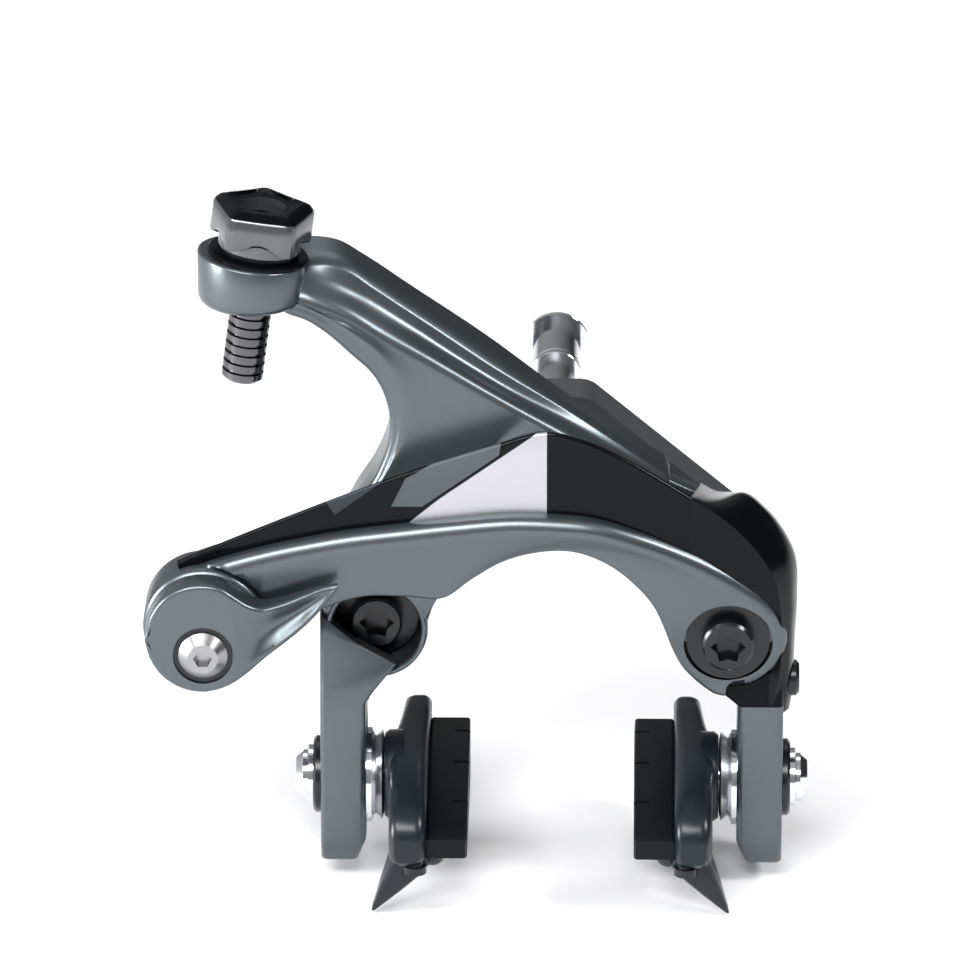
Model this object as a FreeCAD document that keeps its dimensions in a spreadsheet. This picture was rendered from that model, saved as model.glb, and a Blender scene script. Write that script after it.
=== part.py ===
import FreeCAD, Part
import math
import os
import re

import Sketcher
from FreeCAD import Placement, Rotation, Vector

# Dual-pivot rim brake caliper for a road bicycle, in millimetres.
# The origin is on the fork face, at the axis of the mounting stud. +X is the right of the caliper
# as seen from the front, +Y runs back through the fork and +Z is up. "Front" distances below are
# measured forward from the fork face, so a front distance of 20 is at y = -20.

doc = FreeCAD.newDocument("rim_brake_caliper")

sizes = {
    # where the main points of the caliper lie
    "pivot_half": 27.1,  # from the middle to each arm pivot
    "pivot_drop": 19.6,  # arm pivots below the stud
    "reach": 46.1,  # shoe bolts below the stud
    "slot_up": 7.1,  # travel of a shoe bolt up its slot
    "slot_down": 4.9,  # and down
    "rim_gap": 25.6,  # between the two pads, brake open
    "shoe_front": 27.0,
    "arch_radius": 17.7,  # tyre space under the arms
    "arch_drop": 20.5,
    "running": 0.05,  # radial play of a turning fit
    "tight": 0.01,  # radial play of a fixed fit
    "side_play": 0.15,  # end play between a turning part and its neighbour
    "overcut": 1.0,  # how far a cutter runs past the face it opens
    "edge": 0.4,  # bevel on the edge of a small turned part
    # mounting stud, its washer and its long nut
    "stud_radius": 3.0,
    "stud_tail": 33.0,
    "stud_head_radius": 5.0,
    "stud_head": 3.4,
    "fork_washer": 2.0,
    "fork_washer_radius": 8.0,
    "washer_notches": 12.0,
    "notch_width": 0.9,
    "notch_depth": 0.5,
    "nut_start": 25.8,
    "nut_length": 15.4,
    "nut_radius": 4.0,
    "nut_lip": 1.0,
    "nut_flange_radius": 5.2,
    "nut_flange": 1.8,
    "nut_groove": 0.35,
    "nut_key": 2.5,
    "nut_key_depth": 5.5,
    # back bridge
    "plate": 8.0,
    "stud_boss_radius": 10.2,
    "pivot_boss_radius": 6.8,
    "left_boss_front": 12.6,
    "right_boss_front": 19.6,
    "thread_floor": 7.0,
    "stop_radius": 1.6,
    "stop_length": 3.6,
    # arm pivots
    "pivot_washer": 0.6,
    "pivot_washer_radius": 6.4,
    "bush_radius": 5.0,
    "shoulder_radius": 3.5,
    "pivot_thread": 2.9,
    "pivot_head_radius": 4.0,
    "pivot_head": 3.0,
    "left_head_front": 29.4,
    "right_head_front": 38.2,
    "recess_radius": 6.9,
    "star_outer": 2.75,
    "star_inner": 1.95,
    "star_depth": 2.0,
    # arms
    "left_front": 32.4,
    "right_front": 41.6,
    "layer_gap": 0.6,
    "panel_step": 2.4,
    "left_hub": 8.0,
    "right_hub": 9.2,
    "leg_inner": 28.7,
    "leg_thick": 7.1,
    "leg_width": 14.0,
    "leg_tail": 12.2,
    "leg_root": 4.0,  # the legs start this far under the pivots
    "toe_width": 1.4,  # corner cut off the foot of a leg
    "toe_rise": 2.4,
    "slot_half": 3.1,
    # roller that joins the two arms
    "roller_side": 2.4,
    "roller_rise": 3.6,
    "roller_radius": 2.5,
    "roller_width": 5.8,
    "roller_pin": 1.25,
    "cam_radius": 26.0,
    "cam_close": 9.6,
    "cam_open": 5.8,
    "lug_thick": 3.6,
    "lug_root_side": 4.6,
    "lug_root_rise": 10.0,
    "lug_root_width": 5.6,
    "lug_root_height": 5.2,
    # cable adjuster
    "cable_front": 28.0,
    "cable_tilt": 7.5,
    "barrel_side": 45.9,
    "barrel_rise": 33.0,
    "barrel_radius": 8.2,
    "barrel_height": 7.5,
    "barrel_spare": 2.0,  # cut off square to the cable above the boss
    "adjuster_radius": 3.2,
    "adjuster_below": 12.7,
    "adjuster_above": 5.5,
    "adjuster_groove": 0.45,
    "adjuster_pitch": 1.5,
    "knob_radius": 8.4,
    "knob_height": 8.0,
    "knob_waist": 6.9,
    "knob_lobes": 6.0,
    "lobe_cut": 3.1,
    "lobe_reach": 0.78,  # share of a cutter that lies outside the knob
    "ring_radius": 7.7,
    "ring_thick": 0.6,
    "housing_radius": 2.55,
    "housing_depth": 8.0,
    "wire_hole": 1.1,
    # quick release and cable anchor
    "release_side": 53.1,
    "release_drop": 18.0,
    "disk_rise": 2.6,
    "disk_radius": 8.9,
    "end_radius": 9.7,
    "shaft_radius": 6.0,
    "shaft_nose": 4.0,
    "lever_gap": 0.4,
    "lever_thick": 4.6,
    "tail_step": 0.6,  # the tail lies this far behind the disk
    "nose_seat": 1.2,
    "anchor_offset": 2.2,
    "anchor_stem": 3.0,
    "anchor_depth": 5.0,
    "anchor_radius": 5.2,
    "anchor_bolt": 2.0,
    "anchor_plate": 1.4,
    "anchor_head_radius": 3.6,
    "anchor_head": 3.6,
    "anchor_key": 1.75,
    "anchor_key_depth": 2.0,
    "wire_space": 1.7,
    "cone_radius": 3.75,
    "cone_tip_radius": 2.3,
    "cone_height": 1.7,
    "cone_thread": 1.45,
    "cone_key": 1.45,
    "cone_key_depth": 1.4,
    "cone_sunk": 0.4,  # its washer lies this far inside the cup
    "cup_radius": 4.6,
    "cup_depth": 1.0,
    # centring screw
    "centring_drop": 28.2,
    "centring_front": 29.5,
    "centring_head_x": 36.2,
    "centring_radius": 1.9,
    "centring_head_radius": 2.8,
    "centring_head": 2.0,
    "centring_length": 11.0,
    "centring_key": 1.25,
    "centring_key_depth": 1.2,
    # return spring
    "wire_radius": 0.9,
    "coil_radius": 8.1,
    "coil_turns": 2.3,
    "coil_pitch": 2.05,
    "coil_back": 11.6,
    "spring_leg": 17.0,
    "leg_swell": 0.03,  # legs a touch thicker than the coil's wire
    "spring_tail": 10.0,
    "seat_radius": 2.3,
    "seat_pin": 1.4,
    "seat_play": 0.1,
    # brake shoes
    "shoe_length": 44.0,
    "shoe_ahead": 2.0,  # its middle in front of the bolt
    "shoe_half": 5.5,
    "shoe_thick": 7.0,
    "pad_out": 6.2,
    "pad_half": 4.7,
    "pad_inset": 5.0,
    "pad_draft": 0.9,
    "tongue": 2.4,
    "tongue_half": 3.4,
    "tongue_flare": 0.5,
    "pad_play": 0.1,
    "groove_width": 1.2,
    "groove_depth": 2.6,
    "groove_step": 10.5,
    "fin_front": 43.0,
    "fin_thick": 4.0,
    "fin_drop": 9.5,
    "fin_sweep": 2.4,
    "fin_root": 2.0,
    "fin_edge": 0.6,  # blunt tip of the fin
    "shoe_bolt": 2.95,
    "dish_radius": 7.4,
    "dish_thick": 1.5,
    "outer_washer_radius": 6.0,
    "outer_washer": 1.2,
    "shoe_head_radius": 4.6,
    "shoe_head": 2.7,
    "shoe_key": 2.0,
    "shoe_key_depth": 1.8,
    "pad_screw": 1.3,
    "pad_screw_in": 1.8,
    "pad_screw_length": 3.4,
    "pad_screw_head": 1.2,
    "pad_screw_front": 49.0,
}

# Corners of the flat outlines, as (point it is measured from, right, up, corner rounding).
corners = {
    "bridge_plate": {
        "crown_left": ("stud", -5.5, 10.4, 4.0),
        "crown_right": ("stud", 5.5, 10.4, 4.0),
        "wing_right": ("right", 4.8, 7.8, 3.0),
        "heel_right": ("right", -1.0, -7.2, 3.0),
        "arch_right": ("stud", 13.0, -8.0, 8.0),
        "arch_left": ("stud", -13.0, -8.0, 8.0),
        "heel_left": ("left", 1.0, -7.2, 3.0),
        "wing_left": ("left", -4.8, 7.8, 3.0),
    },
    "beam": {
        "neck": ("barrel", 2.0, 6.3, 0.0),
        "shoulder": ("barrel", 13.9, 7.2, 3.0),
        "tip_top": ("stud", 18.9, 4.2, 1.5),
        "tip_low": ("stud", 15.2, -2.0, 2.0),
        "throat": ("stud", -2.0, -6.0, 2.0),
        "inside": ("left", 6.0, -2.0, 2.0),
        "hub": ("left", -2.0, -3.0, 2.0),
        "flank": ("left", -8.2, -2.0, 3.0),
        "waist": ("left", -6.4, 17.4, 5.0),
        "elbow": ("left", 2.4, 28.6, 5.0),
        "armpit": ("left", 2.4, 40.6, 5.0),
        "rise": ("left", -4.6, 47.4, 8.0),
        "boss_low": ("barrel", 2.0, 0.8, 0.0),
    },
    "ribbon": {
        "end_top": ("release", -4.0, 11.6, 2.0),
        "crest_left": ("stud", -0.7, 2.4, 40.0),
        "crest_right": ("stud", 14.0, -0.3, 30.0),
        "brow": ("right", 1.2, 12.2, 12.0),
        "cheek": ("right", 8.8, 3.2, 6.0),
        "jaw": ("right", 7.4, -7.0, 4.0),
        "chin": ("right", -4.0, -8.0, 2.0),
        "soffit_right": ("stud", 8.0, -10.0, 2.0),
        "soffit_left": ("stud", -15.0, -9.6, 0.0),
        "under": ("stud", -33.0, -9.4, 14.0),
        "end_low": ("release", 6.4, -5.2, 1.0),
    },
    "panel": {
        "point": ("release", -3.6, 10.4, 0.6),
        "facet_left": ("stud", -32.4, 2.8, 0.0),
        "facet_top": ("stud", -7.4, 11.8, 0.0),
        "peak": ("stud", -0.6, 13.8, 2.0),
        "slope": ("stud", 14.0, 7.8, 6.0),
        "brow": ("right", -4.4, 18.0, 5.0),
        "low_right": ("right", -2.0, 9.0, 1.0),
        "low_left": ("stud", -0.7, 0.0, 3.0),
        "root": ("release", 4.0, 7.5, 1.0),
    },
    "cheek": {
        "inner_top": ("right", -5.2, 20.4, 2.0),
        "shelf": ("right", 1.0, 17.0, 5.0),
        "corner": ("right", 8.8, 9.2, 6.0),
        "side": ("right", 10.4, 1.0, 5.0),
        "heel": ("right", 8.4, -10.4, 3.0),
        "root": ("right", 1.4, -9.0, 1.0),
        "inner_low": ("right", -8.4, 3.0, 1.0),
        "notch": ("right", -5.6, 9.0, 1.0),
    },
    "lug": {
        "end_low": ("stud", -1.4, 0.6, 2.0),
        "end_top": ("stud", -1.4, 6.6, 2.6),
        "top": ("stud", 6.0, 6.6, 4.0),
        "back_top": ("right", 0.6, 16.0, 2.0),
        "back_low": ("right", 2.6, 9.6, 1.5),
        "low": ("right", -6.0, 9.6, 3.0),
        "belly": ("stud", 8.0, 0.6, 4.0),
    },
    "lever_tail": {
        "top": ("release", 3.0, 10.6, 1.0),
        "crook": ("release", 8.4, 7.4, 5.0),
        "tip_top": ("release", 20.2, 10.4, 1.2),
        "tip_low": ("release", 21.0, 8.2, 1.0),
        "belly": ("release", 12.0, 0.0, 14.0),
        "low": ("release", 2.8, -6.0, 1.0),
    },
}

points = {
    "stud": ("0", "0"),
    "left": ("-pivot_half", "-pivot_drop"),
    "right": ("pivot_half", "-pivot_drop"),
    "barrel": ("-barrel_side", "barrel_rise"),
    "release": ("-release_side", "-release_drop"),
}

# Places that follow from the sizes.
places = {
    "bridge_back": "fork_washer",
    "bridge_front": "fork_washer + plate",
    "left_back": "left_boss_front + pivot_washer + side_play",
    "arm_back": "right_boss_front + pivot_washer + side_play",
    "ribbon_back": "left_front + layer_gap",
    "panel_front": "right_front - panel_step",
    "leg_front": "arm_back + leg_width",
    "leg_outer": "leg_inner + leg_thick",
    "leg_low": "reach + leg_tail",
    "left_under": "left_head_front - pivot_head",
    "right_under": "right_head_front - pivot_head",
    "roller_back": "arm_back - side_play",
    "roller_front": "roller_back + roller_width",
    "lug_front": "roller_back - side_play",
    "lug_back": "lug_front - lug_thick",
    "cam_lean": "atan(roller_side / (roller_rise + pivot_drop))",
    "lever_back": "right_front + lever_gap",
    "lever_front": "lever_back + lever_thick",
    "shaft_floor": "ribbon_back + anchor_depth",
    "block_front": "ribbon_back - side_play",
    "wire_front": "cable_front + wire_space / 2",
    "wire_back": "cable_front - wire_space / 2",
    "plate_back": "wire_back - anchor_plate",
    "anchor_back": "plate_back - anchor_head",
    "anchor_x": "release_side + anchor_offset",
    "leg_turn": "90 + 360 * coil_turns",
    "seat_step": "wire_radius + seat_radius + seat_play",
    "seat_along": "spring_leg - seat_radius",
    "seat_x": "-pivot_half + (coil_radius + seat_step) * cos(leg_turn) - seat_along * sin(leg_turn)",
    "seat_z": "-pivot_drop + (coil_radius + seat_step) * sin(leg_turn) + seat_along * cos(leg_turn)",
    "seat_back": "coil_back + coil_turns * coil_pitch - 2 * wire_radius",
    "shoe_face": "rim_gap / 2 + pad_out",
    "shoe_outer": "shoe_face + shoe_thick",
    "head_x": "leg_outer + outer_washer",
}


def fillSheet():
    """Writes every size and every outline corner into the spreadsheet, one row each."""
    sheet = doc.addObject("Spreadsheet::Sheet", "Sizes")
    rows = dict(sizes)
    for outline, named in corners.items():
        for corner, (_, right, up, rounding) in named.items():
            rows[f"{outline}_{corner}_right"] = right
            rows[f"{outline}_{corner}_up"] = up
            if rounding:
                rows[f"{outline}_{corner}_round"] = rounding
    for row, (alias, value) in enumerate(rows.items(), 1):
        sheet.set(f"A{row}", alias)
        sheet.set(f"B{row}", str(value))
        sheet.setAlias(f"B{row}", alias)
    doc.recompute()
    return sheet, rows


sheet, rows = fillSheet()
alongX = Rotation(Vector(0, 1, 0), 90)
alongY = Rotation(Vector(1, 0, 0), -90)
upright = Rotation()
forward = Rotation(Vector(1, 0, 0), 90)  # a turned piece whose heights are front distances


def rule(text):
    """Turns a formula of size and place names into an expression on the sheet."""

    def swap(found):
        word = found.group()
        if word in places:
            return "(" + rule(places[word]) + ")"
        return "Sizes." + word if word in rows else word

    return re.sub(r"[a-z]\w*", swap, str(text))


def bind(piece, rules):
    for name, text in rules.items():
        piece.setExpression(name, rule(text))
    return piece


def placed(piece, at, turn=upright):
    piece.Placement = Placement(Vector(0, 0, 0), turn)
    return bind(piece, {f"Placement.Base.{axis}": text for axis, text in zip("xyz", at)})


def cylinder(name, radius, height, at, turn=upright):
    piece = doc.addObject("Part::Cylinder", name)
    return placed(bind(piece, {"Radius": radius, "Height": height}), at, turn)


def rod(name, radius, back, front, x, z):
    """A round bar along Y between two front distances."""
    return cylinder(name, radius, f"({front}) - ({back})", (x, f"-({front})", z), alongY)


def box(name, corner, size):
    piece = doc.addObject("Part::Box", name)
    bind(piece, dict(zip(("Length", "Width", "Height"), size)))
    return placed(piece, corner)


def fuse(name, pieces):
    piece = doc.addObject("Part::MultiFuse", name)
    piece.Shapes = pieces
    piece.Refine = True
    return piece


def cut(name, base, tools):
    piece = doc.addObject("Part::Cut", name)
    piece.Base = base
    piece.Tool = tools[0] if len(tools) == 1 else fuse(name + "_cuts", tools)
    piece.Refine = True
    return piece


def polygonSketch(body, name, plane, outline):
    """A closed polygon whose corners are pinned to the sheet, as (right, up) formulas."""
    sketch = body.newObject("Sketcher::SketchObject", name)
    origin = next(part for part in body.Origin.OriginFeatures if part.Role == plane)
    sketch.AttachmentSupport = [(origin, "")]
    sketch.MapMode = "FlatFace"
    count = len(outline)
    ring = [Vector(math.cos(2 * math.pi * i / count), math.sin(2 * math.pi * i / count), 0)
            for i in range(count)]
    for i in range(count):
        sketch.addGeometry(Part.LineSegment(ring[i], ring[(i + 1) % count]))
    for i in range(count):
        sketch.addConstraint(Sketcher.Constraint("Coincident", i, 2, (i + 1) % count, 1))
    for i, (right, up) in enumerate(outline):
        for kind, text in (("DistanceX", right), ("DistanceY", up)):
            number = sketch.addConstraint(Sketcher.Constraint(kind, -1, 1, i, 1, 1.0))
            sketch.setExpression(f"Constraints[{number}]", rule(text))
    return sketch


def prism(name, outline, back, front):
    """A named outline in the front view, padded between two front distances and rounded."""
    named = corners[outline]
    body = doc.addObject("PartDesign::Body", name)
    pinned = []
    for corner, (start, _, _, _) in named.items():
        x, z = points[start]
        pinned.append((f"{x} + {outline}_{corner}_right", f"{z} + {outline}_{corner}_up"))
    sketch = polygonSketch(body, name + "_outline", "XZ_Plane", pinned)
    bind(sketch, {"AttachmentOffset.Base.z": back})
    pad = body.newObject("PartDesign::Pad", name + "_pad")
    pad.Profile = sketch
    bind(pad, {"Length": f"({front}) - ({back})"})
    doc.recompute()
    last = pad
    for number, (corner, (_, _, _, rounding)) in enumerate(named.items()):
        if not rounding:
            continue
        point = sketch.Geometry[number].StartPoint
        edges = [f"Edge{i}" for i, edge in enumerate(last.Shape.Edges, 1)
                 if len(edge.Vertexes) == 2
                 and all(math.hypot(v.X - point.x, v.Z - point.y) < 1e-5 for v in edge.Vertexes)]
        fillet = body.newObject("PartDesign::Fillet", f"{name}_{corner}")
        fillet.Base = (last, edges)
        bind(fillet, {"Radius": f"{outline}_{corner}_round"})
        doc.recompute()
        last = fillet
    return body


def turned(name, profile, at=("0", "0", "0"), turn=upright):
    """A turned piece: a profile of (radius, height) formulas swept round its own Z axis."""
    body = doc.addObject("PartDesign::Body", name)
    sketch = polygonSketch(body, name + "_profile", "XZ_Plane", profile)
    spin = body.newObject("PartDesign::Revolution", name + "_spin")
    spin.Profile = sketch
    spin.ReferenceAxis = (sketch, ["V_Axis"])
    spin.Angle = 360
    return placed(body, at, turn)


def keyway(name, sides, outer, inner, height, depth, at, turn):
    """A socket for a key: a prism with flats, or a star where the two radii differ."""
    body = doc.addObject("PartDesign::Body", name)
    outline = []
    for i in range(sides):
        radius = outer if i % 2 == 0 else inner
        angle = 360 * i / sides
        outline.append((f"({radius}) * cos({angle})", f"({radius}) * sin({angle})"))
    sketch = polygonSketch(body, name + "_outline", "XY_Plane", outline)
    bind(sketch, {"AttachmentOffset.Base.z": f"({height}) - ({depth})"})
    pad = body.newObject("PartDesign::Pad", name + "_pad")
    pad.Profile = sketch
    bind(pad, {"Length": f"({depth}) + 1"})
    return placed(body, at, turn)


def mountingParts():
    """The stud through the back bridge, its toothed washer and the long nut behind the fork."""
    stud = turned("center_stud_turned", [
        ("0", "-stud_tail"), ("stud_radius - 0.6", "-stud_tail"), ("stud_radius", "-stud_tail + 0.6"),
        ("stud_radius", "bridge_front"), ("stud_head_radius", "bridge_front"),
        ("stud_head_radius", "bridge_front + stud_head"), ("0", "bridge_front + stud_head"),
    ], turn=forward)
    key = keyway("stud_key", 6, "nut_key", "nut_key", "bridge_front + stud_head", "stud_head / 2",
                 ("0", "0", "0"), forward)
    washer = rod("fork_washer_disk", "fork_washer_radius", "0", "fork_washer", "0", "0")
    hole = rod("fork_washer_hole", "stud_radius + running", "-overcut", "fork_washer + overcut", "0", "0")
    notches = []
    for i in range(int(sizes["washer_notches"])):
        notch = box(f"washer_notch_{i}", ("0", "0", "0"),
                    ("fork_washer_radius", "2 * notch_depth", "notch_width"))
        angle = 360 * i / sizes["washer_notches"]
        notch.Placement = Placement(Vector(0, 0, 0), Rotation(Vector(0, 1, 0), angle))
        bind(notch, {
            "Placement.Base.x": f"-sin({angle}) * notch_width / 2 + cos({angle}) * (stud_radius + 2)",
            "Placement.Base.y": "-fork_washer - notch_depth",
            "Placement.Base.z": f"-cos({angle}) * notch_width / 2 - sin({angle}) * (stud_radius + 2)",
        })
        notches.append(notch)
    nut = turned("recessed_nut_turned", [
        ("stud_radius + tight", "0"), ("nut_radius", "0"), ("nut_radius + 0.1", "0.1"),
        ("nut_radius + 0.1", "nut_lip"), ("nut_radius - nut_groove", "nut_lip + 0.3"),
        ("nut_radius", "nut_lip + 0.9"), ("nut_radius", "nut_length - nut_flange"),
        ("nut_flange_radius", "nut_length - nut_flange"),
        ("nut_flange_radius", "nut_length - 0.7 * nut_flange"),
        ("nut_flange_radius - nut_groove", "nut_length - nut_flange / 2"),
        ("nut_flange_radius", "nut_length - 0.3 * nut_flange"),
        ("nut_flange_radius - 0.4", "nut_length"),
        ("stud_radius + tight", "nut_length"),
    ], ("0", "nut_start", "0"), alongY)
    plug = rod("nut_end", "nut_radius - 0.5", "-(nut_start + nut_length)",
               "-(nut_start + nut_length - nut_key_depth - 1)", "0", "0")
    socket = keyway("nut_socket", 6, "nut_key", "nut_key", "nut_length", "nut_key_depth",
                    ("0", "nut_start", "0"), alongY)
    return {
        "center_stud": cut("center_stud", stud, [key]),
        "fork_washer": cut("fork_washer_toothed", washer, [hole] + notches),
        "recessed_nut": cut("recessed_nut", fuse("nut_whole", [nut, plug]), [socket]),
    }


def bridgePlate():
    """The back bridge: a wing to each pivot boss, threaded for the pivot bolts."""
    solids = [
        prism("bridge_web", "bridge_plate", "bridge_back", "bridge_front"),
        rod("stud_boss", "stud_boss_radius", "bridge_back", "bridge_front", "0", "0"),
        rod("spring_stop", "stop_radius", "bridge_front - overcut", "bridge_front + stop_length",
            "-pivot_half + spring_tail - stop_radius",
            "-pivot_drop + coil_radius + wire_radius + stop_radius + seat_play"),
    ]
    holes = [rod("stud_hole", "stud_radius + running", "0", "bridge_front + overcut", "0", "0")]
    for side, x in (("left", "-pivot_half"), ("right", "pivot_half")):
        solids.append(rod(f"{side}_boss", "pivot_boss_radius", "bridge_back", f"{side}_boss_front",
                          x, "-pivot_drop"))
        holes.append(rod(f"{side}_thread", "pivot_thread + tight", "thread_floor - overcut",
                         f"{side}_boss_front + overcut", x, "-pivot_drop"))
    arch = rod("bridge_arch", "arch_radius + 0.5", "0", "bridge_front + overcut", "0", "-arch_drop")
    return {"bridge_plate": cut("bridge_plate", fuse("bridge_whole", solids), holes + [arch])}


def pivotParts(side, x):
    """Bolt, bush and two thrust washers of one arm pivot, all fixed to the bridge."""
    under = f"{side}_under"
    front = f"{side}_head_front"
    boss = f"{side}_boss_front"
    at = (x, "0", "-pivot_drop")
    bolt = turned(f"pivot_bolt_{side}_turned", [
        ("0", "thread_floor"), ("pivot_thread", "thread_floor"), ("pivot_thread", boss),
        ("shoulder_radius", boss), ("shoulder_radius", under), ("pivot_head_radius", under),
        ("pivot_head_radius", f"{front} - edge"), ("pivot_head_radius - edge", front), ("0", front),
    ], at, forward)
    star = keyway(f"pivot_star_{side}", 12, "star_outer", "star_inner", front, "star_depth",
                  at, forward)
    bush = rod(f"bush_{side}_bar", "bush_radius", f"{boss} + pivot_washer",
               f"{under} - pivot_washer", x, "-pivot_drop")
    bore = rod(f"bush_{side}_bore", "shoulder_radius + tight", f"{boss} - overcut", f"{under} + overcut",
               x, "-pivot_drop")
    made = {
        f"pivot_bolt_{side}": cut(f"pivot_bolt_{side}", bolt, [star]),
        f"pivot_bush_{side}": cut(f"pivot_bush_{side}", bush, [bore]),
    }
    for end, back in (("rear", boss), ("front", f"{under} - pivot_washer")):
        disk = rod(f"{end}_washer_{side}_disk", "pivot_washer_radius", back,
                   f"{back} + pivot_washer", x, "-pivot_drop")
        hole = rod(f"{end}_washer_{side}_hole", "shoulder_radius + tight", f"{back} - overcut",
                   f"{back} + pivot_washer + 1", x, "-pivot_drop")
        made[f"{end}_washer_{side}"] = cut(f"{end}_washer_{side}", disk, [hole])
    return made


def shoeSlot(name, side):
    """Cutter for the upright slot that a shoe bolt slides in."""
    left = "-leg_outer - 1" if side < 0 else "leg_inner - 1"
    width = "leg_thick + 2"
    low = "-(reach + slot_down)"
    high = "-(reach - slot_up)"
    return [
        box(name + "_middle", (left, "-shoe_front - slot_half", low),
            (width, "2 * slot_half", "slot_up + slot_down")),
        cylinder(name + "_low", "slot_half", width, (left, "-shoe_front", low), alongX),
        cylinder(name + "_high", "slot_half", width, (left, "-shoe_front", high), alongX),
    ]


def leg(name, side):
    """The straight leg that carries a shoe, with its lower inner corner cut back."""
    left = "-leg_outer" if side < 0 else "leg_inner"
    body = doc.addObject("PartDesign::Body", name)
    inner, outer = ("leg_thick", "0") if side < 0 else ("0", "leg_thick")
    toe = "leg_thick - toe_width" if side < 0 else "toe_width"
    outline = [
        (f"{left} + {inner}", "-leg_low + toe_rise"), (f"{left} + {inner}", "-pivot_drop - leg_root"),
        (f"{left} + {outer}", "-pivot_drop - leg_root"), (f"{left} + {outer}", "-leg_low"),
        (f"{left} + {toe}", "-leg_low"),
    ]
    sketch = polygonSketch(body, name + "_outline", "XZ_Plane", outline)
    bind(sketch, {"AttachmentOffset.Base.z": "arm_back"})
    pad = body.newObject("PartDesign::Pad", name + "_pad")
    pad.Profile = sketch
    bind(pad, {"Length": "leg_width"})
    return body


def camPocket():
    """Curved pocket behind the left arm that the right arm's roller runs in."""
    depth = ("arm_back - overcut", "roller_front + 2 * side_play")
    x = "roller_side - cam_radius * sin(cam_lean)"
    z = "roller_rise - cam_radius * cos(cam_lean)"
    outer = rod("cam_outer", "cam_radius + roller_radius + 0.3", *depth, x, z)
    inner = rod("cam_inner", "cam_radius - roller_radius - running", *depth, x, z)
    ring = cut("cam_ring", outer, [inner])
    window = box("cam_window", ("roller_side - cam_open", "-roller_front - 3", "-arch_drop"),
                 ("cam_open + cam_close", "roller_width + 6", "arch_drop + 15"))
    pocket = doc.addObject("Part::MultiCommon", "cam_pocket")
    pocket.Shapes = [ring, window]
    return pocket


def leftArm():
    """The long arm: barrel at its upper end, leg below, and the roller's pocket at the right."""
    boss = cylinder("barrel_boss", "barrel_radius", "barrel_height + barrel_spare",
                    ("-barrel_side + barrel_height * sin(cable_tilt)", "-cable_front",
                     "barrel_rise"))
    seatCut = cylinder("barrel_face_cut", "barrel_radius + 1.4", "2 * barrel_spare",
                       ("0", "0", "0"))
    tiltWithCable(seatCut, "barrel_height")
    solids = [
        prism("arm_beam", "beam", "arm_back", "left_front"),
        boss,
        rod("left_hub_disk", "left_hub", "arm_back", "left_front", "-pivot_half", "-pivot_drop"),
        rod("left_hub_back", "pivot_washer_radius", "left_back", "arm_back + overcut", "-pivot_half",
            "-pivot_drop"),
        leg("left_leg", -1),
        rod("seat_post", "seat_pin", "seat_back - 0.6", "arm_back + overcut", "seat_x", "seat_z"),
    ]
    bore = cylinder("barrel_bore", "adjuster_radius + running", "barrel_height + 4",
                    ("-barrel_side", "-cable_front", "barrel_rise"), upright)
    tiltWithCable(bore, -2)
    tools = [
        bore,
        seatCut,
        rod("left_bore", "bush_radius + running", "left_back - overcut", "left_front + overcut",
            "-pivot_half", "-pivot_drop"),
        rod("left_recess", "recess_radius", "left_under - pivot_washer - side_play",
            "leg_front + overcut", "-pivot_half", "-pivot_drop"),
        rod("left_arch", "arch_radius", "arm_back - overcut", "left_front + overcut", "0", "-arch_drop"),
        camPocket(),
    ] + shoeSlot("left_slot", -1)
    return {"left_arm": cut("left_arm", fuse("left_arm_whole", solids), tools)}


def tiltWithCable(piece, along=0):
    """Leans a piece with the cable and moves it along the cable's line."""
    piece.Placement = Placement(Vector(0, 0, 0), Rotation(Vector(0, 1, 0), 1))
    bind(piece, {
        "Placement.Rotation.Angle": "cable_tilt",
        "Placement.Base.x": f"-barrel_side + ({along}) * sin(cable_tilt)",
        "Placement.Base.y": "-cable_front",
        "Placement.Base.z": f"barrel_rise + ({along}) * cos(cable_tilt)",
    })
    return piece


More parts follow.
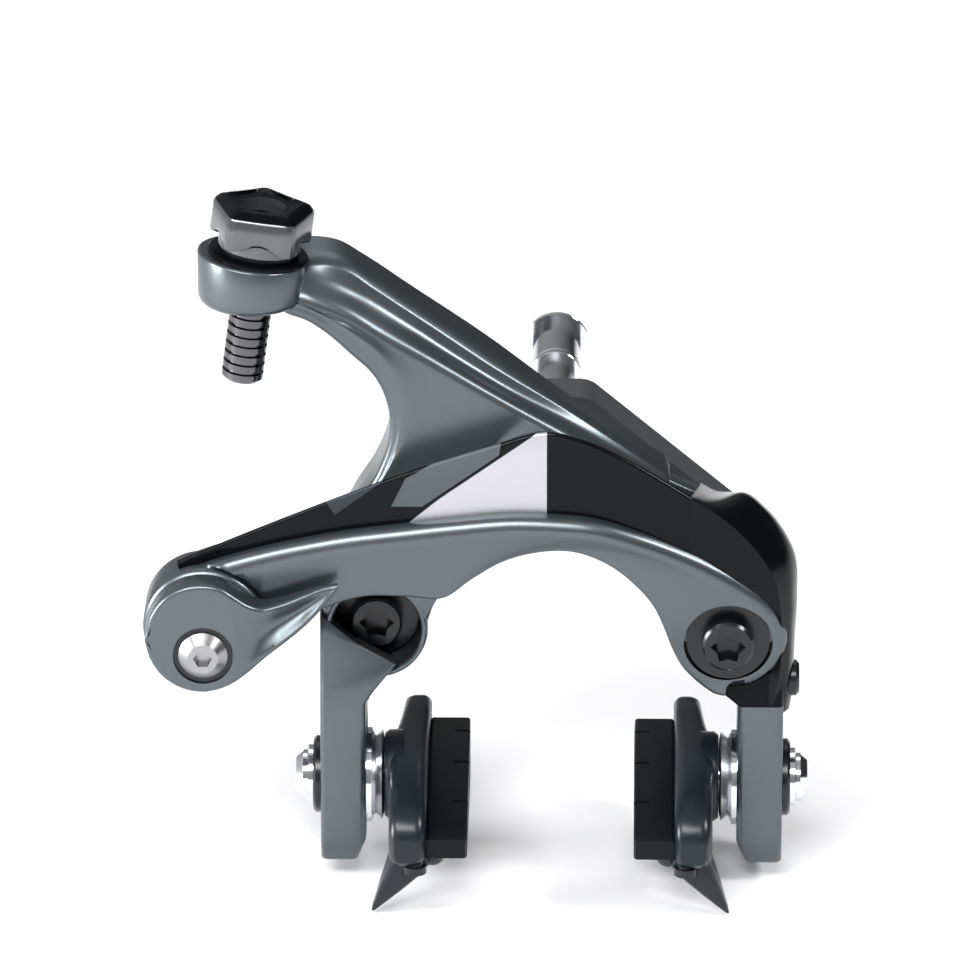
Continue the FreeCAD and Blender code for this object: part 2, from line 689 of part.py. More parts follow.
def adjusterParts():
    """Grooved adjuster bolt that takes the cable housing, its knob and the ring below it."""
    seat = "barrel_height + ring_thick"
    top = f"{seat} + adjuster_above"
    profile = [("wire_hole", "-adjuster_below"), ("adjuster_radius - 0.5", "-adjuster_below")]
    grooves = int((sizes["adjuster_below"] - 1.5) / sizes["adjuster_pitch"])
    for i in range(grooves):
        low = f"-adjuster_below + 0.5 + {i} * adjuster_pitch"
        profile += [
            ("adjuster_radius", low),
            ("adjuster_radius", f"{low} + 0.6 * adjuster_pitch"),
            ("adjuster_radius - adjuster_groove", f"{low} + 0.7 * adjuster_pitch"),
            ("adjuster_radius - adjuster_groove", f"{low} + 0.9 * adjuster_pitch"),
        ]
    profile += [
        ("adjuster_radius", f"-adjuster_below + 0.5 + {grooves} * adjuster_pitch"),
        ("adjuster_radius", top), ("housing_radius", top),
        ("housing_radius", f"{top} - housing_depth"), ("wire_hole", f"{top} - housing_depth"),
    ]
    bolt = turned("adjuster_bolt", profile)
    knob = turned("knob_turned", [
        ("adjuster_radius + running", f"{seat} + 0.05"), ("knob_waist", f"{seat} + 0.05"),
        ("knob_waist", f"{seat} + 0.3 * knob_height"),
        ("knob_radius", f"{seat} + 0.5 * knob_height"),
        ("knob_radius", f"{seat} + 0.85 * knob_height"),
        ("knob_radius - 1.2", f"{seat} + knob_height"),
        ("adjuster_radius + running", f"{seat} + knob_height"),
    ])
    lobes = []
    for i in range(int(sizes["knob_lobes"])):
        angle = 360 * (i + 0.5) / sizes["knob_lobes"]
        lobes.append(cylinder(f"lobe_cut_{i}", "lobe_cut", "knob_height + 2", (
            f"(knob_radius + lobe_reach * lobe_cut) * cos({angle})",
            f"(knob_radius + lobe_reach * lobe_cut) * sin({angle})", f"{seat} - 0.5")))
    grip = cut("knob_upright", knob, lobes)
    ring = turned("adjuster_ring", [
        ("adjuster_radius + running", "barrel_height"), ("ring_radius", "barrel_height"),
        ("ring_radius", f"{seat} - 0.2"), ("ring_radius - 0.2", seat),
        ("adjuster_radius + running", seat),
    ])
    made = {
        "adjuster_bolt": tiltWithCable(bolt),
        "adjuster_knob": tiltWithCable(grip),
        "adjuster_ring": tiltWithCable(ring),
    }
    return made


def rightArm():
    """The front arm: cable end at the left, ribbon over the tyre, hub and leg at the right."""
    solids = [
        prism("arm_ribbon", "ribbon", "ribbon_back", "right_front"),
        prism("arm_panel", "panel", "ribbon_back", "panel_front"),
        prism("arm_cheek", "cheek", "arm_back", "panel_front"),
        prism("arm_lug", "lug", "lug_back", "lug_front"),
        rod("arm_end", "end_radius", "ribbon_back", "right_front", "-release_side",
            "-release_drop + disk_rise"),
        rod("right_hub_disk", "right_hub", "arm_back", "right_front", "pivot_half", "-pivot_drop"),
        box("lug_root", ("pivot_half - lug_root_side", "-arm_back - 2",
                         "-pivot_drop + lug_root_rise"),
            ("lug_root_width", "arm_back - lug_back + 2", "lug_root_height")),
        leg("right_leg", 1),
    ]
    tools = [
        rod("right_bore", "bush_radius + running", "arm_back - overcut", "right_front + overcut",
            "pivot_half", "-pivot_drop"),
        rod("right_recess", "recess_radius", "right_under - pivot_washer - side_play",
            "right_front + overcut", "pivot_half", "-pivot_drop"),
        rod("right_arch", "arch_radius", "lug_back - overcut", "right_front + overcut", "0", "-arch_drop"),
        rod("release_bore", "shaft_radius + running", "ribbon_back - overcut", "right_front + overcut",
            "-release_side", "-release_drop"),
        rod("roller_pin_bore", "roller_pin + tight", "lug_back - overcut", "lug_front + overcut",
            "roller_side", "roller_rise"),
        cylinder("centring_bore", "centring_radius + tight", "centring_length + 4",
                 ("centring_head_x - centring_length - 0.5", "-centring_front", "-centring_drop"),
                 alongX),
        cylinder("centring_seat", "centring_head_radius + 0.4", "6",
                 ("centring_head_x - 0.05", "-centring_front", "-centring_drop"), alongX),
    ] + shoeSlot("right_slot", 1)
    return {"right_arm": cut("right_arm", fuse("right_arm_whole", solids), tools)}


def rollerParts():
    roller = rod("roller_bar", "roller_radius", "roller_back", "roller_front", "roller_side",
                 "roller_rise")
    bore = rod("roller_bore", "roller_pin + running", "roller_back - overcut", "roller_front + overcut",
               "roller_side", "roller_rise")
    pin = rod("roller_pin", "roller_pin", "lug_back", "roller_front + side_play", "roller_side",
              "roller_rise")
    return {"contact_roller": cut("contact_roller", roller, [bore]), "roller_pin": pin}


def centringScrew():
    screw = turned("centring_turned", [
        ("0", "-centring_length"), ("centring_radius - edge", "-centring_length"),
        ("centring_radius", "-centring_length + edge"), ("centring_radius", "0"),
        ("centring_head_radius", "0"), ("centring_head_radius", "centring_head - 0.5"),
        ("centring_head_radius - 0.5", "centring_head"), ("0", "centring_head"),
    ], ("centring_head_x", "-centring_front", "-centring_drop"), alongX)
    key = keyway("centring_socket", 6, "centring_key", "centring_key", "centring_head",
                 "centring_key_depth", ("centring_head_x", "-centring_front", "-centring_drop"),
                 alongX)
    return {"centring_screw": cut("centring_screw", screw, [key])}


def releaseParts():
    """Quick-release lever on its shaft; the shaft's offset bore carries the cable anchor."""
    x, z = "-release_side", "-release_drop"
    lever = fuse("lever_whole", [
        rod("lever_disk", "disk_radius", "lever_back", "lever_front", x, f"{z} + disk_rise"),
        prism("lever_arm", "lever_tail", "lever_back", "lever_front - tail_step"),
    ])
    lever = cut("quick_release_lever", lever, [
        rod("lever_cup", "cup_radius", "lever_front - cup_depth", "lever_front + overcut", x, z),
        rod("lever_hole", "cone_thread + tight", "lever_back - overcut", "lever_front", x, z),
        rod("lever_seat", "shaft_nose + tight", "lever_back - overcut", "lever_back + nose_seat", x, z),
    ])
    shaft = fuse("shaft_whole", [
        rod("shaft_bar", "shaft_radius", "ribbon_back", "right_front", x, z),
        rod("shaft_tip", "shaft_nose", "right_front - overcut", "lever_back + nose_seat", x, z),
    ])
    shaft = cut("release_shaft", shaft, [
        rod("shaft_offset_bore", "anchor_stem + running", "ribbon_back - overcut", "shaft_floor",
            "-anchor_x", z),
        rod("shaft_thread", "cone_thread + tight", "shaft_floor + 0.8", "lever_back + 2", x, z),
    ])
    washer = cut("release_washer", rod("release_washer_disk", "cup_radius - side_play",
                                       "lever_front - cup_depth", "lever_front - cone_sunk", x, z),
                 [rod("release_washer_hole", "cone_thread + tight", "lever_front - 3",
                      "lever_front + overcut", x, z)])
    seat = "lever_front - cone_sunk"
    screw = turned("release_screw_turned", [
        ("0", "shaft_floor + 1"), ("cone_thread", "shaft_floor + 1"), ("cone_thread", seat),
        ("cone_radius", seat), ("cone_radius", f"{seat} + edge"),
        ("cone_tip_radius", f"{seat} + cone_height"), ("0", f"{seat} + cone_height"),
    ], (x, "0", z), forward)
    key = keyway("release_key", 6, "cone_key", "cone_key", f"{seat} + cone_height",
                 "cone_key_depth", (x, "0", z), forward)
    return {
        "quick_release_lever": lever,
        "release_shaft": shaft,
        "release_washer": washer,
        "release_screw": cut("release_screw", screw, [key]),
    }


def anchorParts():
    """Cable anchor: a stem in the shaft's offset bore, and a bolt that clamps the wire."""
    x, z = "-anchor_x", "-release_drop"
    block = fuse("anchor_whole", [
        rod("anchor_stem_bar", "anchor_stem", "block_front - overcut", "shaft_floor - side_play", x, z),
        rod("anchor_flange", "anchor_radius", "wire_front", "block_front", x, z),
    ])
    block = cut("anchor_block", block, [
        rod("anchor_thread", "anchor_bolt + tight", "wire_front - overcut", "shaft_floor - 2", x, z),
    ])
    plate = cut("anchor_plate", rod("anchor_plate_disk", "anchor_radius", "plate_back",
                                    "wire_back", x, z),
                [rod("anchor_plate_hole", "anchor_bolt + tight", "plate_back - overcut",
                     "wire_back + overcut", x, z)])
    bolt = turned("anchor_bolt_turned", [
        ("0", "shaft_floor - 2.4"), ("anchor_bolt", "shaft_floor - 2.4"),
        ("anchor_bolt", "plate_back"), ("anchor_head_radius", "plate_back"),
        ("anchor_head_radius", "anchor_back + edge"), ("anchor_head_radius - edge", "anchor_back"),
        ("0", "anchor_back"),
    ], (x, "0", z), forward)
    key = keyway("anchor_socket", 6, "anchor_key", "anchor_key", "anchor_back + anchor_key_depth",
                 "anchor_key_depth", (x, "1", z), forward)
    return {
        "anchor_block": block,
        "anchor_plate": plate,
        "anchor_bolt": cut("anchor_bolt", bolt, [key]),
    }


def springParts():
    """Return spring coiled round the left pivot, and the seat its long leg presses on."""
    line = doc.addObject("Part::Helix", "coil_line")
    bind(line, {"Radius": "coil_radius", "Pitch": "coil_pitch",
                "Height": "coil_turns * coil_pitch"})
    section = doc.addObject("Part::Circle", "coil_section")
    bind(section, {"Radius": "wire_radius"})
    placed(section, ("coil_radius", "0", "0"), forward)
    coil = doc.addObject("Part::Sweep", "coil")
    coil.Sections = [section]
    coil.Spine = (line, [])
    coil.Solid = True
    coil.Frenet = True
    tail = cylinder("spring_tail_bar", "wire_radius + leg_swell", "spring_tail + 0.2",
                    ("coil_radius", "0.2", "0"), forward)
    leg = cylinder("spring_leg_bar", "wire_radius + leg_swell", "spring_leg + 0.2",
                   ("coil_radius", "-0.2", "0"), alongY)
    turnedLeg = doc.addObject("Part::Compound", "spring_leg_turned")
    turnedLeg.Links = [leg]
    bind(turnedLeg, {"Placement.Rotation.Angle": "360 * coil_turns",
                     "Placement.Base.z": "coil_turns * coil_pitch"})
    spring = fuse("return_spring", [coil, tail, turnedLeg])
    spring.Refine = False
    placed(spring, ("-pivot_half", "-coil_back", "-pivot_drop"),
           forward.multiply(Rotation(Vector(0, 0, 1), 90)))
    seat = cut("spring_seat", rod("seat_bar", "seat_radius", "seat_back", "arm_back",
                                  "seat_x", "seat_z"),
               [rod("seat_bore", "seat_pin + tight", "seat_back - overcut", "arm_back + overcut",
                    "seat_x", "seat_z")])
    return {"return_spring": spring, "spring_seat": seat}


def shoeParts(word, side):
    """One brake shoe: holder with its guide fin, pad, bolt, dished washers and pad screw."""

    def across(start, end):
        """Lowest x of a stretch between two distances from the middle, on this side."""
        return start if side > 0 else f"-({end})"

    def bar(name, radius, start, end):
        return cylinder(name, radius, f"({end}) - ({start})",
                        (across(start, end), "-shoe_front", "-reach"), alongX)

    def section(name, outline, back, front):
        body = doc.addObject("PartDesign::Body", name)
        pinned = [(f"{side} * ({x})", f"-reach + ({z})") for x, z in outline]
        sketch = polygonSketch(body, name + "_outline", "XZ_Plane", pinned)
        bind(sketch, {"AttachmentOffset.Base.z": back})
        pad = body.newObject("PartDesign::Pad", name + "_pad")
        pad.Profile = sketch
        bind(pad, {"Length": f"({front}) - ({back})"})
        return body

    screw_x = f"{side} * (shoe_face + pad_screw_in)"
    back = "shoe_front + shoe_ahead - shoe_length / 2"
    front = "shoe_front + shoe_ahead + shoe_length / 2"
    shell = section(f"holder_{word}_shell", [
        ("shoe_face", "-shoe_half + 0.5"), ("shoe_face + 1", "-shoe_half"),
        ("shoe_outer - 1.6", "-shoe_half"), ("shoe_outer", "-shoe_half + 1.8"),
        ("shoe_outer", "shoe_half - 1.8"), ("shoe_outer - 1.6", "shoe_half"),
        ("shoe_face + 1", "shoe_half"), ("shoe_face", "shoe_half - 0.5"),
    ], back, front)
    fin = section(f"holder_{word}_fin", [
        ("shoe_face + 0.2", "-shoe_half + 1"), ("shoe_face + 0.2", "-shoe_half"),
        ("shoe_face - fin_root", "-shoe_half - 0.3"),
        ("shoe_outer + fin_sweep - fin_edge", "-shoe_half - fin_drop"),
        ("shoe_outer + fin_sweep", "-shoe_half - fin_drop + fin_edge / 2"),
        ("shoe_outer - 0.4", "-shoe_half + 1"),
    ], "fin_front", "fin_front + fin_thick")
    channel = section(f"holder_{word}_channel", [
        ("shoe_face - 1", "-tongue_half - pad_play"), ("shoe_face + 0.4", "-tongue_half - pad_play"),
        ("shoe_face + tongue + pad_play", "-tongue_half - tongue_flare - pad_play"),
        ("shoe_face + tongue + pad_play", "tongue_half + tongue_flare + pad_play"),
        ("shoe_face + 0.4", "tongue_half + pad_play"), ("shoe_face - 1", "tongue_half + pad_play"),
    ], f"{back} - 1", f"{front} - 2.4")
    holder = cut(f"shoe_holder_{word}", fuse(f"holder_{word}_whole", [shell, fin]), [
        channel,
        bar(f"holder_{word}_thread", "shoe_bolt + running", "shoe_face + tongue - overcut",
            "shoe_outer + 1"),
        cylinder(f"holder_{word}_screw_hole", "pad_screw + tight", "5",
                 (screw_x, "-pad_screw_front", "-reach - shoe_half - 1")),
    ])
    face = "rim_gap / 2"
    pad_back = f"{back} + pad_inset"
    pad_front = f"{front} - 2.4 - pad_play"
    block = section(f"pad_{word}_block", [
        (face, "-pad_half - pad_draft + 0.6"), (f"{face} + 0.8", "-pad_half - pad_draft"),
        ("shoe_face - pad_play", "-pad_half - 0.3"), ("shoe_face - pad_play", "-tongue_half"),
        ("shoe_face + 0.4", "-tongue_half"),
        ("shoe_face + tongue", "-tongue_half - tongue_flare"),
        ("shoe_face + tongue", "tongue_half + tongue_flare"), ("shoe_face + 0.4", "tongue_half"),
        ("shoe_face - pad_play", "tongue_half"), ("shoe_face - pad_play", "pad_half + 0.3"),
        (f"{face} + 0.8", "pad_half - pad_draft"), (face, "pad_half - pad_draft - 0.6"),
    ], pad_back, pad_front)
    grooves = []
    for i in range(3):
        grooves.append(box(f"pad_{word}_groove_{i}", (
            across(f"{face} - 1", f"{face} + groove_depth"),
            f"-shoe_front - shoe_ahead + {i - 1} * groove_step - groove_width / 2",
            "-reach - 2 * pad_half"),
            ("groove_depth + 1", "groove_width", "4 * pad_half")))
    relief = cylinder(f"pad_{word}_relief", "pad_screw + 0.3", "pad_half + 2",
                      (screw_x, "-pad_screw_front", "-reach - pad_half - 2"))
    spin = alongX if side > 0 else Rotation(Vector(0, 1, 0), -90)
    bolt_profile = [
        ("0", "shoe_face + tongue + 0.3"), ("shoe_bolt", "shoe_face + tongue + 0.3"),
        ("shoe_bolt", "head_x"), ("shoe_head_radius", "head_x"),
        ("shoe_head_radius", "head_x + 0.8"), ("shoe_head_radius - 0.8", "head_x + 1"),
        ("shoe_head_radius - 0.8", "head_x + 0.6 * shoe_head"),
        ("shoe_head_radius - 1.8", "head_x + shoe_head"), ("0", "head_x + shoe_head"),
    ]
    at = ("0", "-shoe_front", "-reach")
    bolt = turned(f"shoe_bolt_{word}_turned", bolt_profile, at, spin)
    key = keyway(f"shoe_socket_{word}", 6, "shoe_key", "shoe_key", "head_x + shoe_head",
                 "shoe_key_depth", at, spin)
    washers = {}
    stack = "(leg_inner - shoe_outer) / 2"
    hole = "shoe_bolt + tight"
    washers[f"convex_washer_{word}"] = turned(f"convex_washer_{word}", [
        (hole, "shoe_outer"), ("dish_radius - 1.6", "shoe_outer"),
        ("dish_radius - 0.4", "shoe_outer + 0.3"), ("dish_radius - 1.4", f"shoe_outer + {stack}"),
        (hole, f"shoe_outer + {stack}"),
    ], at, spin)
    washers[f"concave_washer_{word}"] = turned(f"concave_washer_{word}", [
        (hole, f"shoe_outer + {stack}"), ("dish_radius - 1.2", f"shoe_outer + {stack}"),
        ("dish_radius", f"leg_inner - 0.8"), ("dish_radius", "leg_inner"), (hole, "leg_inner"),
    ], at, spin)
    washers[f"outer_washer_{word}"] = turned(f"outer_washer_{word}", [
        (hole, "leg_outer"), ("outer_washer_radius", "leg_outer"),
        ("outer_washer_radius", "head_x - edge"), ("outer_washer_radius - edge", "head_x"),
        (hole, "head_x"),
    ], at, spin)
    screw = cylinder(f"pad_screw_{word}_bar", "pad_screw", "pad_screw_length + pad_screw_head",
                     (screw_x, "-pad_screw_front", "-reach - shoe_half - pad_screw_head"))
    head = cylinder(f"pad_screw_{word}_head", "pad_screw + 0.5", "pad_screw_head",
                    (screw_x, "-pad_screw_front", "-reach - shoe_half - pad_screw_head"))
    return {
        f"shoe_holder_{word}": holder,
        f"brake_pad_{word}": cut(f"brake_pad_{word}", block, grooves + [relief]),
        f"shoe_bolt_{word}": cut(f"shoe_bolt_{word}", bolt, [key]),
        f"pad_screw_{word}": fuse(f"pad_screw_{word}", [screw, head]),
        **washers,
    }


def buildAll():
    made = {}
    made.update(bridgePlate())
    made.update(mountingParts())
    made.update(pivotParts("left", "-pivot_half"))
    made.update(pivotParts("right", "pivot_half"))
    made.update(springParts())
    made.update(leftArm())
    made.update(adjusterParts())
    made.update(rightArm())
    made.update(rollerParts())
    made.update(centringScrew())
    made.update(releaseParts())
    made.update(anchorParts())
    made.update(shoeParts("left", -1))
    made.update(shoeParts("right", 1))
    return made


def checkAndWrite(made):
    """Stops on any failed object or bad shape, then writes one STEP file for each sub-part."""
    doc.recompute()
    failed = [thing.Name for thing in doc.Objects
              if "Invalid" in thing.State or "Error" in thing.State]
    if failed:
        raise RuntimeError("failed objects: " + ", ".join(failed))
    os.makedirs("parts", exist_ok=True)
    for label, piece in made.items():
        piece.Label = label
        shape = piece.Shape
        if shape.isNull() or not shape.isValid() or not shape.Solids:
            raise RuntimeError("bad shape: " + label)
    for label, piece in made.items():
        piece.Shape.exportStep(f"parts/{label}.step")
        print(label, len(piece.Shape.Solids), round(piece.Shape.Volume, 1))


checkAndWrite(buildAll())
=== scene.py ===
import math

import bmesh
import bpy
import numpy as np
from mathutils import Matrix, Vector


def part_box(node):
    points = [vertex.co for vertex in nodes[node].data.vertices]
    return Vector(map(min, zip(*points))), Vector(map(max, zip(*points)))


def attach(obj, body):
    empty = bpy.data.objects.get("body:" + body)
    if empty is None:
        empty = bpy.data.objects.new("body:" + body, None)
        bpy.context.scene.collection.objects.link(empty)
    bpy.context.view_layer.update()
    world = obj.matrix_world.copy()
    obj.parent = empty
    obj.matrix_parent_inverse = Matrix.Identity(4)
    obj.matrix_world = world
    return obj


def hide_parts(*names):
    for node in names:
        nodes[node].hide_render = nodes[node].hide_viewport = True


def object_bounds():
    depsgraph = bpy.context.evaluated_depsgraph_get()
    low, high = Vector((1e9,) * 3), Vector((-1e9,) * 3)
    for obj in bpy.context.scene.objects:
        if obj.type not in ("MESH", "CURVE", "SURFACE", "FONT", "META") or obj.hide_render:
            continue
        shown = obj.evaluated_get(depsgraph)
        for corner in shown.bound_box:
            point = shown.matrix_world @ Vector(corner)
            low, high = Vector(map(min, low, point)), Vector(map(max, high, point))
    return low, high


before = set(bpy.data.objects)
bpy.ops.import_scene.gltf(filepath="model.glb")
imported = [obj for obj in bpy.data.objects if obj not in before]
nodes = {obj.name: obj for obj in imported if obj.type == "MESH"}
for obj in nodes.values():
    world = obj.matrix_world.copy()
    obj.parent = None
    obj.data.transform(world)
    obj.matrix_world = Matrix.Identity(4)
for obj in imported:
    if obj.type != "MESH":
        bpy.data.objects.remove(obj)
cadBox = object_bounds()
mm = 0.001


# Shapes below are in millimetres. A front distance runs forward from the fork face, along -y.
def centreOf(node):
    low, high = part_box(node)
    return (np.array(low) + np.array(high)) / 2 / mm


leftPivot = centreOf("pivot_bolt_left")
rightPivot = centreOf("pivot_bolt_right")
forward = (0, -1, 0)
rimBolt = {"front": 27, "height": -46.1}  # where both shoe bolts sit at rest
releaseEnd = (-53.1, 0, -15.4)  # round end of the right arm, a little above its shaft
releaseShaft = (-53.1, 0, -18)
cableFoot = np.array([-45.9, -28.0, 33.0])  # where the cable's axis enters the left arm
print("frame loaded:", len(nodes), "nodes")


# curves and surfaces
def through(points, count):
    # Curve through given points: cubic spans whose slope at each point is the mean of its
    # two chords, weighted by the other chord's length. Spans are sampled evenly by point number.
    p = np.array(points, float)
    chord = np.linalg.norm(np.diff(p, axis=0), axis=1)[:, None] + 1e-9
    slope = np.diff(p, axis=0) / chord
    tangent = np.vstack([slope[:1], (slope[:-1] * chord[1:] + slope[1:] * chord[:-1])
                         / (chord[:-1] + chord[1:]), slope[-1:]])
    u = np.linspace(0, len(p) - 1, count)
    i = np.minimum(u.astype(int), len(p) - 2)
    f = (u - i)[:, None]
    h = chord[i]
    return ((2 * f**3 - 3 * f**2 + 1) * p[i] + (f**3 - 2 * f**2 + f) * h * tangent[i]
            + (3 * f**2 - 2 * f**3) * p[i + 1] + (f**3 - f**2) * h * tangent[i + 1])


def gridFaces(rows, columns, closedRows=False, closedColumns=False):
    # Quads of a rows by columns grid of points, wrapped where a direction is closed.
    r = np.arange(rows if closedRows else rows - 1)
    c = np.arange(columns if closedColumns else columns - 1)
    r, c = np.meshgrid(r, c, indexing="ij")
    rn, cn = (r + 1) % rows, (c + 1) % columns
    quads = np.stack([r * columns + c, r * columns + cn, rn * columns + cn, rn * columns + c], -1)
    return quads.reshape(-1, 4).tolist()


def newPiece(name, points, faces, merge=0.0004):
    # Mesh object from points in millimetres, with doubles merged and normals turned outwards.
    mesh = bpy.data.meshes.new(name)
    mesh.from_pydata((np.asarray(points, float) * mm).tolist(), [], faces)
    work = bmesh.new()
    work.from_mesh(mesh)
    bmesh.ops.remove_doubles(work, verts=work.verts, dist=merge * mm)
    bmesh.ops.recalc_face_normals(work, faces=work.faces)
    work.to_mesh(mesh)
    work.free()
    piece = bpy.data.objects.new(name, mesh)
    bpy.context.scene.collection.objects.link(piece)
    mesh.shade_smooth()
    return piece


def joined(name, pieces):
    # One object of several closed shells.
    for piece in pieces:
        applyModifiers(piece)
    with bpy.context.temp_override(active_object=pieces[0], selected_editable_objects=pieces):
        bpy.ops.object.join()
    pieces[0].name = name
    pieces[0].data.name = name
    return pieces[0]


def applyModifiers(piece):
    graph = bpy.context.evaluated_depsgraph_get()
    mesh = bpy.data.meshes.new_from_object(piece.evaluated_get(graph))
    piece.modifiers.clear()
    old = piece.data
    piece.data = mesh
    bpy.data.meshes.remove(old)


def softened(piece, width, angle=30, segments=3):
    # Rounds the edges sharper than an angle and keeps the flats flat.
    bevel = piece.modifiers.new("rounding", "BEVEL")
    bevel.width = width * mm
    bevel.segments = segments
    bevel.limit_method = "ANGLE"
    bevel.angle_limit = math.radians(angle)
    bevel.harden_normals = True
    return piece


def loft(name, bands):
    # Closed tube of bands, each a list of rails and its steps from rail to rail. Point (s, t): t runs
    # along every rail, and s across a band by the same cubic as the rails. Band edges are creases.
    section = []
    for rails, steps in bands:
        rails = np.stack(rails)
        count = rails.shape[1]
        across = through(rails.reshape(len(rails), -1), steps * (len(rails) - 1) + 1)
        section.append(across[:-1].reshape(-1, count, 3))
    grid = np.concatenate(section)
    size = len(grid)
    points = grid.reshape(-1, 3)
    faces = gridFaces(size, count, closedRows=True)
    faces += [[i * count + end for i in range(size)] for end in (0, count - 1)]
    return newPiece(name, points, faces)


def spun(name, profile, centre, axis, steps=72, closed=False):
    # Surface of revolution: (radius, height) profile turned about an axis through centre.
    p = np.array(profile, float)
    a = np.linspace(0, 2 * math.pi, steps, endpoint=False)
    turn = np.array(Vector((0, 0, 1)).rotation_difference(Vector(axis)).to_matrix())
    ring = np.stack([p[:, 0, None] * np.cos(a), p[:, 0, None] * np.sin(a),
                     np.repeat(p[:, 1, None], steps, 1)], -1)
    points = ring.reshape(-1, 3) @ turn.T + np.array(centre)
    faces = gridFaces(len(p), steps, closedRows=closed, closedColumns=True)
    return newPiece(name, points, faces)


def plate(name, outline, back, front):
    # Flat outline of (x, z) corners between two front distances.
    o = np.array(outline, float)
    count = len(o)
    points = np.concatenate([np.stack([o[:, 0], np.full(count, -d), o[:, 1]], 1)
                             for d in (back, front)])
    faces = gridFaces(2, count, closedColumns=True)
    faces += [list(range(count)), list(range(count, 2 * count))]
    return newPiece(name, points, faces)


def front(points):
    # Control points (x, z, front distance) as (x, y, z).
    return [(x, -d, z) for x, z, d in points]


def alongRail(points, count):
    # Smooth curve through (x, z, front distance) points, sampled at even arc length.
    fine = through(front(points), 800)
    run = np.concatenate([[0], np.cumsum(np.linalg.norm(np.diff(fine, axis=0), axis=1))])
    even = np.linspace(0, run[-1], count)
    return np.stack([np.interp(even, run, fine[:, i]) for i in range(3)], 1)


def roundedEdge(rail, width, depth, side, steps=5):
    # Rails of an edge rounded from a front face to a flank, on a quarter ellipse. The face's end of
    # it is moved in the front plane across the rail's own direction, to its left for side 1.
    run = np.gradient(rail, axis=0)
    run[:, 1] = 0
    run /= np.linalg.norm(run, axis=1)[:, None] + 1e-9
    across = side * np.stack([-run[:, 2], np.zeros(len(rail)), run[:, 0]], 1)
    back = np.array([0, 1.0, 0])
    return [rail + width * (1 - math.sin(a)) * across + depth * (1 - math.cos(a)) * back
            for a in np.linspace(0, math.pi / 2, steps)]


def softRidge(before, ridge, after, reach, steps=7):
    # Rails of a ridge rounded between two faces: a quadratic curve whose corner is the ridge.
    one, two = before - ridge, after - ridge
    a = ridge + reach * one / np.linalg.norm(one, axis=1)[:, None]
    b = ridge + reach * two / np.linalg.norm(two, axis=1)[:, None]
    return [(1 - t)**2 * a + 2 * t * (1 - t) * ridge + t**2 * b for t in np.linspace(0, 1, steps)]


def roundedBar(name, rows, order, corner=6):
    # Bar along one axis: a rounded rectangle at each station. A row is the station, then the
    # low and high of the second axis, the low and high of the third, and the corner radius.
    where = ["xyz".index(axis) for axis in order]
    s, a0, a1, b0, b1, r = np.array(rows, float).T[:, :, None]
    r = np.minimum(r, np.minimum(a1 - a0, b1 - b0) / 2 - 1e-4)
    quadrant = np.repeat(np.arange(4), corner)
    turn = np.tile(np.linspace(0, math.pi / 2, corner), 4) + quadrant * math.pi / 2
    a = np.where((quadrant == 0) | (quadrant == 3), a1 - r, a0 + r) + r * np.cos(turn)
    b = np.where(quadrant < 2, b1 - r, b0 + r) + r * np.sin(turn)
    grid = np.stack([np.broadcast_to(s, a.shape), a, b], -1)
    size = grid.shape[1]
    points = np.zeros((len(rows) * size, 3))
    points[:, where] = grid.reshape(-1, 3)
    faces = gridFaces(len(rows), size, closedColumns=True)
    faces += [list(range(size)), list(range((len(rows) - 1) * size, len(rows) * size))]
    return newPiece(name, points, faces, merge=0.00005)


def finished(piece, material, body, node):
    # Gives a piece its finish and body, and hides its CAD node.
    piece.data.materials.clear()
    piece.data.materials.append(material)
    faces = piece.data.polygons
    faces.foreach_set("material_index", np.zeros(len(faces), np.int32))
    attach(piece, body)
    if node:
        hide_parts(node)
    creased(piece)
    return piece


def creased(piece, angle=38):
    # Smooth shading that keeps edges sharper than an angle.
    piece.data.shade_smooth()
    piece.data.set_sharp_from_angle(angle=math.radians(angle))


def repainted(piece, material, chosen):
    # Second finish for the faces that chosen picks by their centres, in millimetres, and normals.
    faces = piece.data.polygons
    centres, normals = (np.empty(3 * len(faces), np.float32) for way in range(2))
    faces.foreach_get("center", centres)
    faces.foreach_get("normal", normals)
    mask = chosen(centres.reshape(-1, 3) / mm, normals.reshape(-1, 3))
    piece.data.materials.append(material)
    faces.foreach_set("material_index", mask.astype(np.int32))


def hollowed(piece, cutter, crossing=True):
    # Takes a cutter out of a piece and removes it. Crossing is for a piece that may cross itself.
    cut = piece.modifiers.new("cut", "BOOLEAN")
    cut.operation = "DIFFERENCE"
    cut.object = cutter
    cut.solver = "EXACT"
    cut.use_self = crossing
    applyModifiers(piece)
    work = bmesh.new()
    work.from_mesh(piece.data)
    bmesh.ops.remove_doubles(work, verts=work.verts, dist=0.0005 * mm)
    bmesh.ops.dissolve_degenerate(work, edges=work.edges, dist=0.0002 * mm)
    work.to_mesh(piece.data)
    work.free()
    bpy.data.objects.remove(cutter)
    return piece


# camera, light and floor
view = {"elevation": 22, "azimuth": 1.0, "distance": 1.4, "width": 0.150}
light = {"key": 14, "left": 16, "right": 6, "top": 1.2, "sky": 0.75, "shade": 0.05,
         "from": (-0.78, -0.1, 0.62)}


